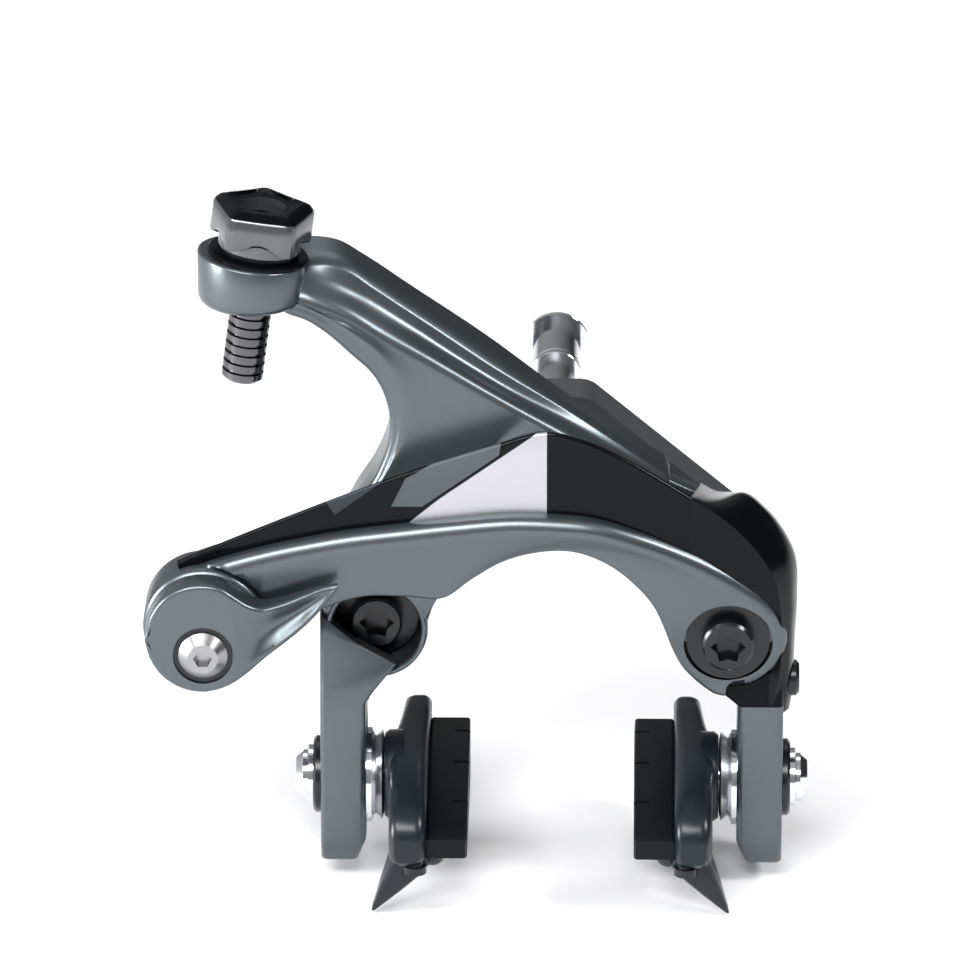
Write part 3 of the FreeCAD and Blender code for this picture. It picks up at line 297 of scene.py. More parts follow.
def setView():
    low, high = cadBox
    centre = (low + high) / 2
    a, e = math.radians(view["azimuth"]), math.radians(view["elevation"])
    back = Vector((math.sin(a) * math.cos(e), -math.cos(a) * math.cos(e), math.sin(e)))
    lens = bpy.data.cameras.new("camera")
    lens.sensor_width = 36
    lens.lens = 36 * view["distance"] / view["width"]
    lens.clip_start = 0.05
    camera = bpy.data.objects.new("camera", lens)
    camera.location = centre + back * view["distance"]
    camera.rotation_euler = (-back).to_track_quat("-Z", "Y").to_euler()
    bpy.context.scene.collection.objects.link(camera)
    bpy.context.scene.camera = camera
    bpy.context.scene.view_settings.view_transform = "Standard"


def softbox(name, at, size, power, aim=(0, -0.03, -0.01)):
    lamp = bpy.data.lights.new(name, "AREA")
    lamp.shape = "RECTANGLE"
    lamp.size, lamp.size_y = size
    lamp.energy = power
    holder = bpy.data.objects.new(name, lamp)
    holder.location = at
    holder.rotation_euler = (Vector(aim) - Vector(at)).to_track_quat("-Z", "Y").to_euler()
    bpy.context.scene.collection.objects.link(holder)


def setLight():
    world = bpy.data.worlds.new("studio")
    bpy.context.scene.world = world
    world.use_nodes = True
    tree = world.node_tree
    tree.nodes.clear()
    out = tree.nodes.new("ShaderNodeOutputWorld")
    ground = tree.nodes.new("ShaderNodeBackground")
    coords = tree.nodes.new("ShaderNodeTexCoord")
    across = tree.nodes.new("ShaderNodeVectorMath")
    across.operation = "DOT_PRODUCT"
    across.inputs[1].default_value = light["from"]
    ramp = tree.nodes.new("ShaderNodeMapRange")
    ramp.inputs["From Min"].default_value = -0.3
    ramp.inputs["From Max"].default_value = 0.9
    ramp.inputs["To Min"].default_value = light["shade"]
    ramp.inputs["To Max"].default_value = light["sky"]
    tree.links.new(coords.outputs["Generated"], across.inputs[0])
    tree.links.new(across.outputs["Value"], ramp.inputs["Value"])
    tree.links.new(ramp.outputs["Result"], ground.inputs["Strength"])
    tree.links.new(ground.outputs[0], out.inputs["Surface"])
    softbox("keyBox", (-0.25, -0.75, 0.75), (0.8, 0.3), light["key"])
    softbox("leftBox", (-0.95, -0.3, 0.2), (0.35, 0.4), light["left"])
    softbox("rightBox", (0.68, -0.3, 0.62), (0.22, 0.22), light["right"])
    softbox("topBox", (0.1, 0.5, 0.9), (0.6, 0.4), light["top"])


def setFloor():
    low, high = cadBox
    floor = bpy.data.meshes.new("floor")
    side = 6
    floor.from_pydata([(-side, -side, low.z - 0.0005), (side, -side, low.z - 0.0005),
                       (side, side, low.z - 0.0005), (-side, side, low.z - 0.0005)],
                      [], [(0, 1, 2, 3)])
    thing = bpy.data.objects.new("floor", floor)
    bpy.context.scene.collection.objects.link(thing)
    material = bpy.data.materials.new("paleFloor")
    material.use_nodes = True
    shader = material.node_tree.nodes["Principled BSDF"]
    shader.inputs["Base Color"].default_value = (0.82, 0.82, 0.83, 1)
    shader.inputs["Roughness"].default_value = 0.75
    floor.materials.append(material)


setView()
setLight()
setFloor()
print("camera, light and floor set")


# effects and finishes
def newGroup(name, inputs, outputs):
    group = bpy.data.node_groups.new(name, "ShaderNodeTree")
    for socket, kind, value in inputs:
        made = group.interface.new_socket(socket, in_out="INPUT", socket_type=kind)
        made.default_value = value
    for socket, kind in outputs:
        group.interface.new_socket(socket, in_out="OUTPUT", socket_type=kind)
    start = group.nodes.new("NodeGroupInput")
    end = group.nodes.new("NodeGroupOutput")
    return group, start, end


def grainEffect():
    # Fine mottling: noise at two sizes shifts the colour, the roughness and the height.
    group, start, end = newGroup(
        "grain",
        [("Colour", "NodeSocketColor", (0.2, 0.2, 0.2, 1)), ("Roughness", "NodeSocketFloat", 0.4),
         ("Scale", "NodeSocketFloat", 2500.0), ("Shift", "NodeSocketFloat", 0.12)],
        [("Colour", "NodeSocketColor"), ("Roughness", "NodeSocketFloat"),
         ("Height", "NodeSocketFloat")])
    tree = group.nodes
    link = group.links.new
    coords = tree.new("ShaderNodeTexCoord")
    fine = tree.new("ShaderNodeTexNoise")
    broad = tree.new("ShaderNodeTexNoise")
    broad.inputs["Scale"].default_value = 90
    broad.inputs["Detail"].default_value = 3
    fine.inputs["Detail"].default_value = 2
    link(coords.outputs["Object"], fine.inputs["Vector"])
    link(coords.outputs["Object"], broad.inputs["Vector"])
    link(start.outputs["Scale"], fine.inputs["Scale"])
    low = tree.new("ShaderNodeMath")
    low.operation = "SUBTRACT"
    low.inputs[0].default_value = 1
    link(start.outputs["Shift"], low.inputs[1])
    high = tree.new("ShaderNodeMath")
    high.operation = "ADD"
    high.inputs[0].default_value = 1
    link(start.outputs["Shift"], high.inputs[1])
    swing = tree.new("ShaderNodeMapRange")
    link(broad.outputs["Fac"], swing.inputs["Value"])
    link(low.outputs[0], swing.inputs["To Min"])
    link(high.outputs[0], swing.inputs["To Max"])
    tint = tree.new("ShaderNodeVectorMath")
    tint.operation = "SCALE"
    link(start.outputs["Colour"], tint.inputs[0])
    link(swing.outputs[0], tint.inputs["Scale"])
    link(tint.outputs["Vector"], end.inputs["Colour"])
    rough = tree.new("ShaderNodeMath")
    rough.operation = "MULTIPLY"
    link(start.outputs["Roughness"], rough.inputs[0])
    link(swing.outputs[0], rough.inputs[1])
    link(rough.outputs[0], end.inputs["Roughness"])
    link(fine.outputs["Fac"], end.inputs["Height"])
    return group


grain = grainEffect()


def finish(name, colour, roughness, metallic=0.0, scale=2500, shift=0.1, bump=0.05, specular=0.5):
    # Finish with the grain effect; returns the material, its shader and the effect's node.
    material = bpy.data.materials.new(name)
    material.use_nodes = True
    tree = material.node_tree
    shader = tree.nodes["Principled BSDF"]
    effect = tree.nodes.new("ShaderNodeGroup")
    effect.node_tree = grain
    effect.inputs["Colour"].default_value = (*colour, 1)
    effect.inputs["Roughness"].default_value = roughness
    effect.inputs["Scale"].default_value = scale
    effect.inputs["Shift"].default_value = shift
    lift = tree.nodes.new("ShaderNodeBump")
    lift.inputs["Strength"].default_value = bump
    lift.inputs["Distance"].default_value = 0.0001
    tree.links.new(effect.outputs["Colour"], shader.inputs["Base Color"])
    tree.links.new(effect.outputs["Roughness"], shader.inputs["Roughness"])
    tree.links.new(effect.outputs["Height"], lift.inputs["Height"])
    tree.links.new(lift.outputs["Normal"], shader.inputs["Normal"])
    shader.inputs["Metallic"].default_value = metallic
    shader.inputs["Specular IOR Level"].default_value = specular
    return material


satinGrey = finish("satinGrey", (0.098, 0.113, 0.123), 0.31, 0.85, scale=3500, shift=0.05, bump=0.06)
darkAlloy = finish("darkAlloy", (0.085, 0.092, 0.1), 0.42, 0.7, shift=0.08)
glossBlack = finish("glossBlack", (0.002, 0.0025, 0.003), 0.16, 0.0, shift=0.1, bump=0.01,
                    specular=0.08)
satinBlack = finish("satinBlack", (0.006, 0.009, 0.012), 0.3, 0.0, shift=0.12, bump=0.04, specular=0.3)
padRubber = finish("padRubber", (0.003, 0.004, 0.005), 0.45, 0.0, scale=1800, shift=0.2, bump=0.1,
                   specular=0.16)
polished = finish("polished", (0.72, 0.73, 0.75), 0.12, 1.0, shift=0.2, bump=0.01)
brushed = finish("brushed", (0.5, 0.51, 0.53), 0.3, 1.0, shift=0.2, bump=0.05)
blackSteel = finish("blackSteel", (0.008, 0.009, 0.01), 0.24, 0.3, shift=0.25, bump=0.05)
knobFacet = finish("knobFacet", (0.1, 0.104, 0.108), 0.2, 0.7, shift=0.1, bump=0.01)
darkChrome = finish("darkChrome", (0.1, 0.1, 0.105), 0.16, 1.0, shift=0.2, bump=0.01)
springSteel = finish("springSteel", (0.3, 0.3, 0.31), 0.28, 1.0, shift=0.15)
darkPlastic = finish("darkPlastic", (0.02, 0.02, 0.021), 0.45, 0.0, shift=0.15)
print("finishes made")

finishOf = {
    "bridge_plate": darkAlloy, "center_stud": brushed, "fork_washer": brushed,
    "recessed_nut": polished, "return_spring": springSteel, "spring_seat": darkPlastic,
    "adjuster_ring": glossBlack, "adjuster_bolt": darkChrome, "adjuster_knob": glossBlack,
    "contact_roller": polished, "roller_pin": brushed, "centring_screw": blackSteel,
    "quick_release_lever": satinGrey, "release_shaft": brushed, "release_washer": blackSteel,
    "release_screw": springSteel, "anchor_block": brushed, "anchor_plate": brushed,
    "anchor_bolt": brushed, "left_arm": satinGrey, "right_arm": satinGrey,
}
bySide = {
    "pivot_bolt": blackSteel, "pivot_bush": darkPlastic, "rear_washer": brushed,
    "front_washer": blackSteel, "shoe_holder": satinBlack, "brake_pad": padRubber,
    "shoe_bolt": polished, "pad_screw": blackSteel, "convex_washer": brushed,
    "concave_washer": polished, "outer_washer": blackSteel,
}
for side in ("left", "right"):
    finishOf.update({f"{kind}_{side}": made for kind, made in bySide.items()})
for name, made in finishOf.items():
    nodes[name].data.materials.clear()
    nodes[name].data.materials.append(made)


# Outlines in (x, z) of the painted areas, from the centre of the panel towards the lever: the silver
# print, two facets whose catch of the light is painted on in grey and slate (painted reflection), and
# the slate tip at the arm's end.
panelAreas = [
    ("Silver", [(-0.8, 17), (-2.3, 15.9), (-7.7, 12.7), (-18.3, 4.05), (-23.5, -0.5), (-0.8, -0.5)]),
    # painted reflection: a facet of the panel catching the light, painted grey
    ("GreyFacetSheen", [(-7.7, 14.7), (-18.3, 10.7), (-22.3, 8.4), (-24.5, 3.7), (-19.8, 3.7), (-8.1, 12.3)]),
    # painted reflection: a small facet catching the light, painted slate
    ("SlateAndSheen", [(-24.9, 8.6), (-34.4, 4.4), (-33.1, 2.3)]),
    ("SlateAndSheen", [(-57.2, -12), (-57.2, 6), (-70, 6), (-70, -12)]),
]


def paintEffect():
    # Coloured areas of the panel, in its own front plane; two of them are painted reflections of
    # facets. Each area is a convex outline: a point is inside where its distance past every side, a dot
    # product with the side's normal, is negative.
    # The grey colour, and the slate one on the small facet, are painted reflections of facets catching
    # the light; the slate also colours the tip at the arm's end.
    group, start, end = newGroup("panelPaint", [("Black", "NodeSocketColor", (0.002, 0.0025, 0.003, 1)),
                                                ("Silver", "NodeSocketColor", (0.46, 0.46, 0.48, 1)),
                                                ("GreyFacetSheen", "NodeSocketColor", (0.06, 0.068, 0.074, 1)),
                                                ("SlateAndSheen", "NodeSocketColor", (0.022, 0.026, 0.03, 1))],
                                 [("Colour", "NodeSocketColor"), ("Silver", "NodeSocketFloat"),
                                  ("Roughness", "NodeSocketFloat")])
    tree, link = group.nodes, group.links.new
    coords = tree.new("ShaderNodeTexCoord")

    def area(corners):
        corners = np.array(corners, float)
        centre = corners.mean(0)
        worst = None
        for a, b in zip(corners, np.roll(corners, -1, 0)):
            normal = np.array([b[1] - a[1], a[0] - b[0]])
            normal /= np.linalg.norm(normal)
            if normal @ (centre - a) > 0:
                normal = -normal
            dot = tree.new("ShaderNodeVectorMath")
            dot.operation = "DOT_PRODUCT"
            dot.inputs[1].default_value = (normal[0] / mm, 0, normal[1] / mm)
            link(coords.outputs["Object"], dot.inputs[0])
            past = tree.new("ShaderNodeMath")
            past.operation = "SUBTRACT"
            past.inputs[1].default_value = float(normal @ a)
            link(dot.outputs["Value"], past.inputs[0])
            if worst is None:
                worst = past
            else:
                most = tree.new("ShaderNodeMath")
                most.operation = "MAXIMUM"
                link(worst.outputs[0], most.inputs[0])
                link(past.outputs[0], most.inputs[1])
                worst = most
        soft = tree.new("ShaderNodeMapRange")
        soft.inputs["From Min"].default_value = 0.06
        soft.inputs["From Max"].default_value = -0.06
        link(worst.outputs[0], soft.inputs["Value"])
        return soft.outputs["Result"]

    colour, rough = start.outputs["Black"], None
    for name, corners in panelAreas:
        mask = area(corners)
        if name == "Silver":
            link(mask, end.inputs["Silver"])
            rough = mask
        blend = tree.new("ShaderNodeMix")
        blend.data_type = "RGBA"
        link(mask, blend.inputs["Factor"])
        link(colour, blend.inputs["A"])
        link(start.outputs[name], blend.inputs["B"])
        colour = blend.outputs["Result"]
    link(colour, end.inputs["Colour"])
    scale = tree.new("ShaderNodeMapRange")
    scale.inputs["To Min"].default_value = 0.16
    scale.inputs["To Max"].default_value = 0.42
    link(rough, scale.inputs["Value"])
    link(scale.outputs["Result"], end.inputs["Roughness"])
    return group


def panelPaint():
    material = finish("panelPaint", (0.1, 0.1, 0.1), 0.2, 0.0, bump=0.01, specular=0.12)
    tree = material.node_tree
    shader = tree.nodes["Principled BSDF"]
    effect = tree.nodes.new("ShaderNodeGroup")
    effect.node_tree = paintEffect()
    tree.links.new(effect.outputs["Colour"], shader.inputs["Base Color"])
    tree.links.new(effect.outputs["Silver"], shader.inputs["Metallic"])
    tree.links.new(effect.outputs["Roughness"], shader.inputs["Roughness"])
    return material


# left arm
leftArmShape = {
    "rounding": 1.1, "ridgeRound": 1.3,
    # (x, z, front distance) along the arm, from the barrel boss to its hidden end
    "ledge": [(-43, 39.6, 21.5), (-40, 40.4, 20.35), (-36.5, 40.7, 20.35), (-32.9, 40.1, 20.35),
              (-29.2, 37.9, 20.35), (-21.9, 32.8, 20.35), (-11, 25.2, 20.35), (2.4, 14.9, 20.35),
              (17.9, 4.6, 20.35)],
    "crease": [(-43, 38.6, 27), (-39, 38.8, 27.3), (-36.5, 38.9, 27.5), (-34.3, 38.9, 27.5),
               (-31.4, 37.9, 27.5), (-27.1, 34.9, 27.5), (-18.3, 28.8, 27.5), (-9.2, 22.4, 27.5),
               (2.4, 15.1, 27.5), (17.9, 4.4, 27.5)],
    "hollow": [(-43, 37.6, 29), (-38.6, 37.6, 29), (-34.3, 36.6, 28.7), (-29.2, 34, 28.4),
               (-22, 29.2, 28.4), (-14.7, 24.1, 28.4), (-7.4, 19.3, 28.4), (2.4, 13.8, 28.6),
               (17.9, 3.8, 28.8)],
    "ridge": [(-43, 35.4, 31), (-37.3, 34.8, 32), (-34.3, 33.6, 32.2), (-31.4, 32.4, 32.2),
              (-25.6, 28.8, 32.2), (-18.3, 24.7, 32.2), (-11, 20.4, 32.2), (-3.7, 16.1, 32.2),
              (1.7, 12.9, 32.2), (18, 3.1, 32.2)],
    # and the outline of its front face: under the beam, round the elbow and the hub, over the arch
    "outline": [(-42.2, 32.6, 30.8), (-40.2, 31.8, 31.6), (-37.6, 31, 32), (-35, 29.3, 32),
                (-31, 25.7, 32), (-27.3, 22, 32.1), (-25.2, 17, 32.1), (-25, 12.4, 32.1),
                (-26.9, 6.2, 32), (-30.6, 0, 32), (-34, -8, 32), (-35.2, -17, 32), (-32.4, -25, 32),
                (-24.5, -26.4, 32), (-19.4, -19, 32), (-17, -12.4, 32), (-9.6, -5.5, 32), (0, -2.9, 32),
                (8.6, -5, 32), (14, -6, 32), (18, 0.3, 32)],
    "swell": 0.5,
    # (radius, front distance) round the ring at its pivot, and what is cut out for the bolt's head
    "hub": [(5.05, 13.4), (6.4, 13.4), (6.4, 20.35), (8.0, 20.35), (8.0, 31.5), (7.9, 32.0),
            (7.6, 32.3), (7.3, 32.3), (7.0, 32.1), (6.9, 31.7), (6.9, 25.65), (5.05, 25.65)],
    "beamHole": 7.6, "legHole": (6.9, 30.6),
    # (z, inner x, front distance) down the leg from the hub
    "leg": [(-13, 33.5, 31), (-17, 30.5, 32.3), (-20, 27, 32.8), (-24.6, 23.5, 33.3),
            (-29.4, 27.4, 33.8), (-31.3, 28.74, 34.2), (-38, 28.74, 34.35)],
    # what is open above the leg's front lip, which passes under the pivot bolt
    "lip": [(-38, -16.6), (-35.2, -17.5), (-33, -19.2), (-30.6, -21.2), (-27.3, -23.1), (-24.1, -24.9),
            (-20, -27), (-18, -5), (-38, -5)],
}
# the roller's pocket in the back of the beam: part of a ring, along the roller's path
camPocket = {"centre": (-0.27, -22.26), "radii": (23.3, 28.95), "left": -3.6, "right": 12.2,
             "floor": 26.4}
barrelBoss = {"radius": 8.2, "height": 7.5, "tilt": 7.5, "bore": 3.27, "round": 1.6}
legShape = {"inner": 28.74, "outer": 35.76, "back": 20.35, "front": 34.35, "round": 0.9,
            "slot": (-8.0, 10.2), "slotHalf": 3.1, "slotRound": 3.09,
            # (z, and what is added to the inner x, outer x and front distance) down to the foot
            "foot": [(-44, 0, 0, 0), (-54.1, 0, 0, 0), (-54.9, 0.25, 0, -0.1), (-57.8, 1.25, 0, -1.3),
                     (-58.15, 1.5, -0.2, -1.6), (-58.3, 1.9, -0.7, -2.1)]}


def cableAxis():
    a = math.radians(barrelBoss["tilt"])
    return np.array([math.sin(a), 0, math.cos(a)])


def barrel():
    # Ring whose top leans with the cable: height is a share of the way to a leaning plane.
    b = barrelBoss
    axis = cableAxis()
    bend = [(b["radius"] - b["round"] * (1 - math.sin(a)), b["round"] * (1 - math.cos(a)) / b["height"])
            for a in np.linspace(0, math.pi / 2, 6)]
    profile = [(b["bore"], 0)] + bend + [(b["radius"], 0.5), (b["radius"], 0.955),
                                         (b["radius"] - 0.1, 0.985), (b["radius"] - 0.4, 1),
                                         (b["bore"], 1)]
    p = np.array(profile)
    steps = 96
    a = np.linspace(0, 2 * math.pi, steps, endpoint=False)
    shift = b["height"] * axis[0]
    x = p[:, 0, None] * np.cos(a)
    y = p[:, 0, None] * np.sin(a)
    top = b["height"] * axis[2] - (x - shift) * axis[0] / axis[2]
    z = p[:, 1, None] * top
    lean = z * axis[0] / axis[2] * (p[:, 0, None] < b["bore"] + 0.1)
    points = np.stack([x + lean, y, z], -1).reshape(-1, 3) + cableFoot
    return newPiece("barrel", points, gridFaces(len(p), steps, closedRows=True, closedColumns=True))


def legOf(side, top):
    # Leg with rounded edges: a rounded rectangle carried down, its inner edge flaring to the hub.
    g = legShape
    stations = [(z, inner, g["outer"], front) for z, inner, front in top]
    stations += [(z, g["inner"] + i, g["outer"] + o, g["front"] + f) for z, i, o, f in g["foot"]]
    rows = [(z, *sorted((side * i, side * o)), -f, -g["back"], g["round"]) for z, i, o, f in stations]
    leg = roundedBar(f"leg{side}", rows, "zxy")
    x = side * (g["inner"] + g["outer"]) / 2
    low, high = (rimBolt["height"] + end for end in g["slot"])
    near, far = -rimBolt["front"] - g["slotHalf"], -rimBolt["front"] + g["slotHalf"]
    cutter = roundedBar("slot", [(s, near, far, low, high, g["slotRound"]) for s in (x - 6, x + 6)],
                        "xyz")
    return hollowed(leg, cutter)


def hubRing(name, x, profile):
    # Closed ring round a pivot, from a profile of (radius, front distance).
    return spun(name, profile, (x, 0, leftPivot[2]), forward, closed=True)


def makeLeftArm():
    s = leftArmShape
    count = 150
    rails = ("ledge", "crease", "hollow", "ridge")
    ledge, crease, hollow, ridge = (alongRail(s[k], count) for k in rails)
    outline = through(front(s["outline"]), count)
    edge = roundedEdge(outline, s["rounding"], s["rounding"], 1)
    face, side = edge[0], edge[-1]
    middle = (ridge + face) / 2 - np.array([0, s["swell"], 0])
    back = outline.copy()
    back[:, 1] = ledge[:, 1]
    turn = softRidge(hollow, ridge, face, s["ridgeRound"])
    arm = loft("beam", [([ledge, crease], 2), ([crease, hollow, turn[0]], 5), (turn, 1),
                        ([turn[-1], middle, face], 5), (edge, 1), ([side, back], 2),
                        ([back, ledge], 2)])
    x, z = leftPivot[0], leftPivot[2]
    r = s["beamHole"]
    arm = hollowed(arm, spun("cutter", [(0, 10), (r, 10), (r, 40), (0, 40)], (x, 0, z), forward))
    p = camPocket
    ends = (p["left"], p["right"])
    turns = [[math.acos((end - p["centre"][0]) / r) for end in ends] for r in p["radii"]]
    rim = [(p["centre"][0] + r * math.cos(a), p["centre"][1] + r * math.sin(a))
           for r, (start, end), way in zip(p["radii"], turns, (1, -1))
           for a in np.linspace(start, end, 20)[::way]]
    arm = hollowed(arm, plate("pocket", rim, 10, p["floor"]))
    hub = hubRing("hub", x, s["hub"])
    leg = legOf(-1, s["leg"])
    r, depth = s["legHole"]
    leg = hollowed(leg, spun("cutter", [(0, 10), (r, 10), (r, depth), (0, depth)], (x, 0, z), forward))
    leg = hollowed(leg, plate("cutter", s["lip"], 10, 40))
    softened(leg, 0.35, 40)
    return finished(joined("leftArmBody", [arm, barrel(), hub, leg]), satinGrey, "left_arm", "left_arm")


# right arm
rightArmShape = {
    "ribbonBack": 33.0, "crestRound": (2.4, 1.7), "soffitRound": (0.6, 0.6), "dish": 0.15,
    "crest": [(-57, -7.2, 41.4), (-52.2, -5.4, 41.6), (-45.8, -3.4, 41.6), (-38.2, -1.55, 41.6),
              (-30.6, -0.1, 41.6), (-23, 0.9, 41.6), (-15.4, 1.85, 41.6), (-5.2, 2.75, 41.6),
              (0.4, 2.6, 41.6), (6.7, 1.95, 41.5), (13, -0.05, 41), (18.4, -2.4, 40.2),
              (23.4, -5, 39.4), (28.4, -8.2, 38.6), (32.4, -11.6, 37.8), (34.8, -14.8, 37.1),
              (36.1, -18.3, 36.5), (35.9, -21.4, 36), (34.2, -24.9, 35.4), (31.2, -27.4, 35),
              (27.8, -28.3, 34.8)],
    "soffit": [(-57, -24, 40), (-50, -24.2, 40), (-43, -19.5, 40), (-36, -13.6, 40), (-29, -11, 40),
               (-22, -10.9, 40), (-16.6, -11.2, 39.8), (-12, -8, 39.6), (-7.4, -5.2, 39.6),
               (-2.4, -3.7, 39.6), (3, -3.5, 39.6), (8.4, -5.6, 39.4), (12.4, -8.9, 39),
               (15.6, -13, 38.4), (17.2, -16.8, 37.6), (18.6, -21, 36.4), (20.2, -24.3, 35.6),
               (22, -26.4, 35.2), (23.6, -27.9, 34.9), (25, -28.9, 34.8), (26.6, -29.4, 34.7)],
    # (radius, front distance) of the ring at its pivot and of the round end at the lever
    "hub": [(5.05, 20.35), (8.6, 20.35), (8.6, 33.4), (7.4, 34), (6.86, 34), (6.86, 34.4),
            (5.05, 34.4)],
    "end": [(6.05, 33), (9.1, 33), (9.4, 33.3), (9.4, 40.9), (9.1, 41.4), (8.6, 41.6), (6.05, 41.6)],
    # radii cut out for the lever's round end, for the pivot bolt in the ribbon and in the leg
    "leverHole": 9.9, "ribbonHole": 6.85, "legHole": 6.86, "shaftHole": 6.05,
    # (z, inner x, front distance) down the leg from the hub
    "leg": [(-20, 24, 33.4), (-24, 23.2, 33.6), (-28, 24.6, 33.9), (-30, 27.2, 34.1),
            (-31.3, 28.74, 34.2), (-38, 28.74, 34.35)],
    # (x, z) round the lug behind the left arm, which carries the roller, its two front distances,
    # and the bar that joins it to the hub
    "lug": [(-0.6, 1), (-1.4, 2.2), (-1.4, 5.4), (-0.4, 6.4), (6, 6.6), (14, 2.6), (27, -3.6),
            (29.4, -6), (29.7, -9), (28, -10), (21, -10), (13, -5.5), (6.5, 0.4)],
    "lugDepths": (16.45, 20.0),
    "root": [(-17, 22.5, 28.1, -9.6, -4.4, 0.4), (-24, 22.5, 28.1, -9.6, -4.4, 0.4)],
    # where the root of the leg, in the shade under the hub, is painted gloss black like the shoulder
    # beside it: painted shade
    "paintedShade": {"left": 20, "low": -32.1, "high": -20, "back": -34.6},
}
panelShape = {
    "back": 33.0, "round": 0.5, "fall": 2.6, "hubHole": 8.7,
    "top": [(-57.4, -5.6, 39.2), (-45, -0.1, 39.2), (-33.3, 4.85, 39.2), (-25.3, 8.1, 39.2),
            (-17, 11.1, 39.2), (-8.5, 13.9, 39.2), (-2.4, 15.8, 39.2), (-0.4, 16, 39.2),
            (4.5, 14.8, 39.2), (11.4, 11.6, 39.2), (17.5, 7.9, 39.2), (24.6, 3.2, 38.9)],
    "root": [(-56.4, -8.4, 38.8), (-45.5, -4.6, 38.8), (-34, -1.6, 38.8), (-26, -0.3, 38.8),
             (-18, 0.6, 38.8), (-9, 1.5, 38.8), (-2.4, 1.8, 38.8), (0, 1.7, 38.8), (5, 1.1, 38.8),
             (11.4, -1, 38.8), (16.5, -3.4, 38.5), (22, -7, 37.8)],
}
cheekShape = {
    # (x, z, front distance): front edge, outer flank and back edge of the black shoulder
    "front": [(20.9, 5.5, 39.2), (24.1, 3.6, 39.2), (27, 1.3, 39.1), (29.9, -1.6, 39), (32.4, -5, 38.7),
              (34.2, -8.6, 38), (35.1, -14, 36.8), (35.3, -20, 35.6), (35, -26, 34.8), (34, -30, 34.4),
              (33.4, -33, 34)],
    "flank": [(21.6, 4.7, 36.5), (24.6, 3.4, 36.5), (28.6, 2.8, 35), (31.9, 0, 35), (34.4, -3.4, 35),
              (36.2, -7, 35), (36.9, -14, 34.4), (36.8, -20, 33.6), (36.6, -26, 33), (36.2, -30, 32.6),
              (35.7, -33, 32.4)],
    "back": [(22.8, 0.4, 20.35), (25.2, -0.9, 20.35), (28.6, -1.2, 20.35), (32, -3.6, 20.35),
             (34.8, -6.6, 20.35), (36.4, -9.8, 20.35), (36.9, -15, 20.35), (36.8, -21, 20.35),
             (36.6, -26, 20.35), (36.2, -30, 20.35), (35.7, -33, 20.35)],
    "inner": [(20.9, -5, 38.4), (22.6, -6.4, 38.2), (24.8, -8, 38), (27.6, -10, 37.6), (30.6, -12, 37),
              (32.8, -14.4, 36.2), (34, -17, 35.4), (34.2, -20.6, 34.6), (33.4, -26, 33.6),
              (32, -30, 33.2), (31.4, -33, 33)],
}


def makeRightArm():
    s = rightArmShape
    count = 190
    crest = through(front(s["crest"]), count)
    soffit = through(front(s["soffit"]), count)
    over = roundedEdge(crest, *s["crestRound"], -1)
    under = roundedEdge(soffit, *s["soffitRound"], 1)
    middle = (over[0] + under[0]) / 2 + np.array([0, s["dish"], 0])
    low, high = under[-1].copy(), over[-1].copy()
    low[:, 1] = high[:, 1] = -s["ribbonBack"]
    ribbon = loft("ribbon", [(over[::-1], 1), ([over[0], middle, under[0]], 5), (under, 1),
                             ([under[-1], low], 2), ([low, high], 2), ([high, over[-1]], 2)])
    r = s["leverHole"]
    ribbon = hollowed(ribbon, spun("cutter", [(0, 40.4), (r, 40.4), (r, 50), (0, 50)], releaseEnd,
                                   forward))
    x, z = rightPivot[0], rightPivot[2]
    r = s["ribbonHole"]
    ribbon = hollowed(ribbon, spun("cutter", [(0, 10), (r, 10), (r, 50), (0, 50)], (x, 0, z), forward))
    hub = hubRing("hub", x, s["hub"])
    leg = legOf(1, s["leg"])
    r = s["legHole"]
    leg = hollowed(leg, spun("cutter", [(0, 10), (r, 10), (r, 50), (0, 50)], (x, 0, z), forward))
    end = spun("end", s["end"], releaseEnd, forward, closed=True)
    r = s["shaftHole"]
    ribbon = hollowed(ribbon, spun("cutter", [(0, 30), (r, 30), (r, 50), (0, 50)], releaseShaft,
                                   forward))
    lug = plate("lug", s["lug"], *s["lugDepths"])
    root = roundedBar("root", s["root"], "yxz")
    softened(lug, 0.4, 40)
    body = joined("rightArmBody", [ribbon, hub, leg, end, lug, root])
    finished(body, satinGrey, "right_arm", "right_arm")
    # painted shade: the root of the leg, under the hub, gets the gloss black finish
    b = s["paintedShade"]
    repainted(body, glossBlack, lambda at, normal: (at[:, 0] > b["left"]) & (at[:, 1] > b["back"])
              & (at[:, 2] > b["low"]) & (at[:, 2] < b["high"]))
    makePanel()


def makePanel():
    p = panelShape
    count = 120
    top, root = (through(front(p[k]), count) for k in ("top", "root"))
    edge = roundedEdge(top, p["round"], p["round"], -1)
    back, low = edge[-1].copy(), root.copy()
    back[:, 1] = low[:, 1] = -p["back"]
    back[:, 2] -= p["fall"]
    panel = loft("panel", [([root, edge[0]], 4), (edge, 1), ([edge[-1], back], 2), ([back, low], 2),
                           ([low, root], 1)])
    c = {k: through(front(v), count) for k, v in cheekShape.items()}
    depth = c["inner"].copy()
    depth[:, 1] = -legShape["back"]
    cheek = loft("cheek", [([c["inner"], c["front"]], 3), ([c["front"], c["flank"], c["back"]], 5),
                           ([c["back"], depth], 2), ([depth, c["inner"]], 2)])
    x, z = rightPivot[0], rightPivot[2]
    r = p["hubHole"]
    cheek = hollowed(cheek, spun("cutter", [(0, 10), (r, 10), (r, 50), (0, 50)], (x, 0, z), forward))
    made = joined("facetPanel", [panel, cheek])
    finished(made, panelPaint(), "right_arm", None)


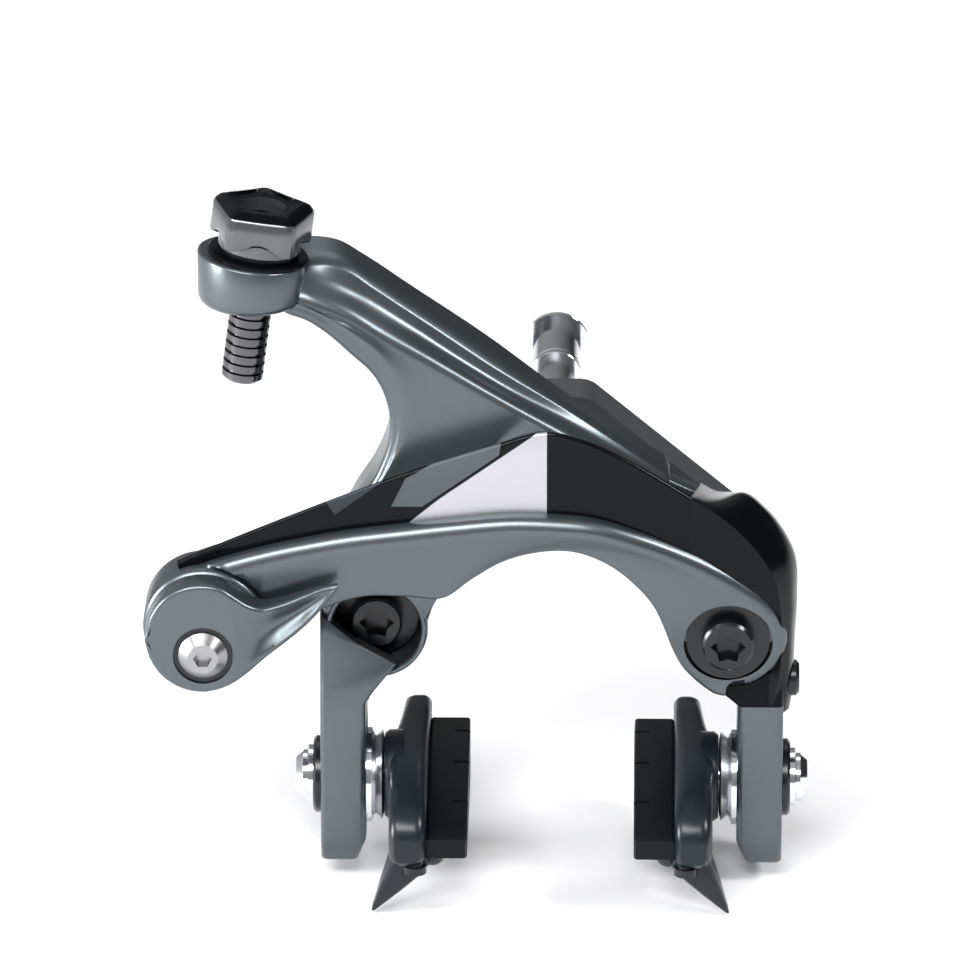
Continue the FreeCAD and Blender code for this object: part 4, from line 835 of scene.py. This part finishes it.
# lever, knob and shoes
leverShape = {
    "back": 42.05, "front": 46.6, "round": 0.7, "cup": 4.62, "cupDepth": 1.02,
    # (x, z, front distance) over the top of the round end and along the tail, and the same below
    "upper": [(-62, -14.9, 46.6), (-61.3, -12, 46.6), (-59.3, -8.9, 46.6), (-56.4, -7, 46.6),
              (-53.1, -6.4, 46.6), (-50.6, -6.8, 46.6), (-48.2, -8.3, 46.6), (-46.2, -9.7, 46.4),
              (-44.2, -10.4, 46), (-42, -10.1, 45.5), (-38.2, -9, 44.4), (-34.8, -8, 43.3),
              (-32.6, -7.7, 42.85)],
    "lower": [(-62, -15.9, 46.6), (-61.3, -18.6, 46.6), (-59.3, -21.7, 46.6), (-56.4, -23.6, 46.6),
              (-53.1, -24.2, 46.6), (-50.6, -23.7, 46.6), (-48.2, -22.5, 46.6), (-46, -20.8, 46.4),
              (-43.6, -18.7, 46), (-41, -16.7, 45.6), (-37.4, -13.8, 44.8), (-34.4, -10.8, 43.6),
              (-32.5, -8.4, 42.85)],
    "hollow": [0, 0, 0, 0, 0, 0, 0.1, 0.5, 1.1, 1.4, 1.1, 0.3, 0],
}
knobShape = {"radius": 8.4, "waist": 6.3, "height": 8.0, "lobes": 5, "bore": 3.3, "start": 8.15,
             "flat": 0.95, "turn": 54, "rim": 5.2}
shoeShape = {
    # front distance, inner and outer x, bottom and top z (from the bolt), corner rounding
    "holder": [(7.0, 19.6, 22.2, -3.6, 4.2, 1.2), (7.4, 19.2, 22.8, -4.6, 5.0, 1.3),
               (9, 19.0, 23.2, -5.3, 5.5, 1.3), (14, 19.0, 23.6, -5.5, 5.5, 1.4),
               (19, 19.0, 24.2, -5.5, 5.5, 1.6), (23, 19.0, 25.0, -5.5, 5.5, 1.8),
               (31, 19.0, 25.2, -5.5, 5.5, 1.8), (36, 19.0, 25.0, -5.5, 5.4, 1.8),
               (42, 19.0, 24.9, -5.5, 4.9, 1.8), (46, 19.0, 24.9, -5.5, 4.0, 1.8),
               (48.6, 19.1, 24.8, -5.5, 2.8, 1.7), (50.3, 19.4, 24.5, -5.2, 1.2, 1.5),
               (51, 20.0, 23.9, -4.4, -0.6, 1.0)],
    "pad": [(12.2, 13.2, 19.05, -4.6, 3.0, 0.5), (12.6, 12.9, 19.05, -4.9, 3.4, 0.5),
            (20, 12.8, 19.05, -5.0, 3.8, 0.5), (28, 12.8, 19.05, -5.1, 3.2, 0.5),
            (36, 12.8, 19.05, -5.2, 1.9, 0.5), (43, 12.8, 19.05, -5.2, 0.2, 0.5),
            (47.6, 12.8, 19.05, -5.0, -1.2, 0.5), (48.3, 13.1, 19.05, -4.7, -1.6, 0.4)],
    "fin": [(-4.6, 18.4, 24.7, 41.4, 48.6, 1.5), (-5.6, 18.2, 24.8, 41.6, 48.6, 1.5),
            (-7, 19.2, 25.3, 42.0, 48.4, 1.3), (-8.6, 20.6, 25.8, 42.6, 48.0, 1.1),
            (-10.4, 22.4, 26.4, 43.2, 47.4, 0.9), (-12.2, 24.3, 26.9, 43.8, 46.8, 0.7),
            (-13.8, 26.0, 27.4, 44.4, 46.2, 0.45), (-14.8, 27.1, 27.6, 44.9, 45.7, 0.2)],
    "grooves": [18.5, 29.0, 39.5], "grooveHalf": 0.35,
    # (radius, x) of the seat under the shoe bolt, and (radius, z) of the bump under the guide fin
    "seat": [(3.1, 23.2), (7.0, 23.2), (7.0, 25.2), (6.5, 25.9), (3.1, 25.9)],
    "bump": [(0, -6.3), (1.2, -6.2), (1.8, -5.6), (2.0, -4.6), (0, -4.6)],
}


def makeLever():
    s = leverShape
    count = 130
    upper, lower = (through(front(s[k]), count) for k in ("upper", "lower"))
    deep = np.interp(np.linspace(0, 1, count), np.linspace(0, 1, len(s["hollow"])), s["hollow"])
    middle = (upper + lower) / 2
    middle[:, 1] += deep
    # the rounding is narrower at the tips, where both rails come together
    width = np.minimum(s["round"], 0.4 * np.linalg.norm(upper - lower, axis=1))[:, None]
    over = roundedEdge(upper, width, s["round"], -1)
    under = roundedEdge(lower, width, s["round"], 1)
    low, high = under[-1].copy(), over[-1].copy()
    low[:, 1] = high[:, 1] = -s["back"]
    tail = loft("leverBody", [(over[::-1], 1), ([over[0], middle, under[0]], 6), (under, 1),
                              ([under[-1], low], 2), ([low, high], 2), ([high, over[-1]], 2)])
    r, low, high = s["cup"], s["front"] - s["cupDepth"], s["front"] + 1
    cup = spun("cup", [(0, low), (r, low), (r, high), (0, high)], releaseShaft, forward)
    finished(hollowed(tail, cup, False), satinGrey, "quick_release", "quick_release_lever")


def makeKnob():
    # Radius is a polygon softened towards a circle, with a shallow notch in the middle of each lobe.
    # The flare above the waist starts higher away from the notches.
    k = knobShape
    steps = 240
    a = np.linspace(0, 2 * math.pi, steps, endpoint=False)
    half = math.pi / k["lobes"]
    phase = np.mod(a + half + math.radians(k["turn"]), 2 * half) - half
    lobed = k["radius"] * ((1 - k["flat"]) + k["flat"] * math.cos(half) / np.cos(half - np.abs(phase)))
    lobed = lobed - 0.25 * np.exp(-((np.abs(phase)) / 0.07) ** 2)
    arch = 0.5 - 0.5 * np.cos(np.pi * np.abs(phase) / half)
    one = np.ones(steps)
    waist = np.minimum(k["waist"], lobed - 0.15)
    h = k["height"]
    rings = [(k["bore"] * one, 0 * one), (k["waist"] * one, 0 * one), (k["waist"] * one, 0.9 * one),
             (waist * one, (1.5 + 1.3 * arch)), (lobed - 0.1, 1.7 + 1.5 * arch),
             (lobed, 2.0 + 1.5 * arch), (lobed, 4.5 * one), (lobed, (h - 1.5) * one),
             (lobed - 0.25, (h - 1.1) * one), (lobed - 1.0, (h - 0.3) * one), (lobed - 1.9, h * one),
             (k["rim"] * one, h * one - 0.35), (k["bore"] * one, h * one - 0.5)]
    axis = cableAxis()
    sideways = np.array([axis[2], 0, -axis[0]])
    back = np.array([0, 1, 0])
    base = cableFoot + axis * k["start"]
    around = np.cos(a)[:, None] * sideways + np.sin(a)[:, None] * back
    points = [base + r[:, None] * around + high[:, None] * axis for r, high in rings]
    piece = newPiece("adjusterGrip", np.concatenate(points),
                     gridFaces(len(rings), steps, closedRows=True, closedColumns=True))
    finished(piece, glossBlack, "adjuster_knob", "adjuster_knob")

    def facets(at, normal):
        height = (at - base) @ axis
        return (np.abs(normal @ axis) < 0.6) & (height > 0.5) & (height < h - 1.2)

    repainted(piece, knobFacet, facets)  # the facets are brighter than the top


def makeShoe(word, side):
    s = shoeShape
    z, across = rimBolt["height"], (side, 0, 0)
    middle = (0, -rimBolt["front"], z)

    def bar(name, rows, order="yxz"):
        if order == "yxz":
            rows = [(-d, *sorted((side * a, side * b)), z + low, z + high, r)
                    for d, a, b, low, high, r in rows]
        else:
            rows = [(z + h, *sorted((side * a, side * b)), -far, -near, r)
                    for h, a, b, near, far, r in rows]
        return roundedBar(name, rows, order)

    shell = bar("shell", s["holder"])
    seat = spun("seat", s["seat"], middle, across, closed=True)
    fin = bar("fin", s["fin"], "zxy")
    bump = spun("bump", s["bump"], (side * 18.2, -46.4, z), (0, 0, 1))
    socket = spun("cutter", [(0, 18), (3.05, 18), (3.05, 27), (0, 27)], middle, across)
    finished(joined(f"shoeHolder{word.title()}", [hollowed(shell, socket), seat, fin, bump]),
             satinBlack,
             f"{word}_shoe", f"shoe_holder_{word}")
    pad = bar("pad", s["pad"])
    for d in s["grooves"]:
        near, far = sorted((side * 12, side * 15.2))
        groove = roundedBar("groove", [(end, near, far, z - 8, z + 8, 0.05)
                                       for end in (-d - s["grooveHalf"], -d + s["grooveHalf"])], "yxz")
        pad = hollowed(pad, groove)
    pad.name = f"brakePad{word.title()}"
    finished(pad, padRubber, f"{word}_shoe", f"brake_pad_{word}")


for make in (makeLeftArm, makeRightArm, makeLever, makeKnob):
    make()
    print(make.__name__, "done")
for word, side in (("left", -1), ("right", 1)):
    makeShoe(word, side)
    print("shoe", word, "done")
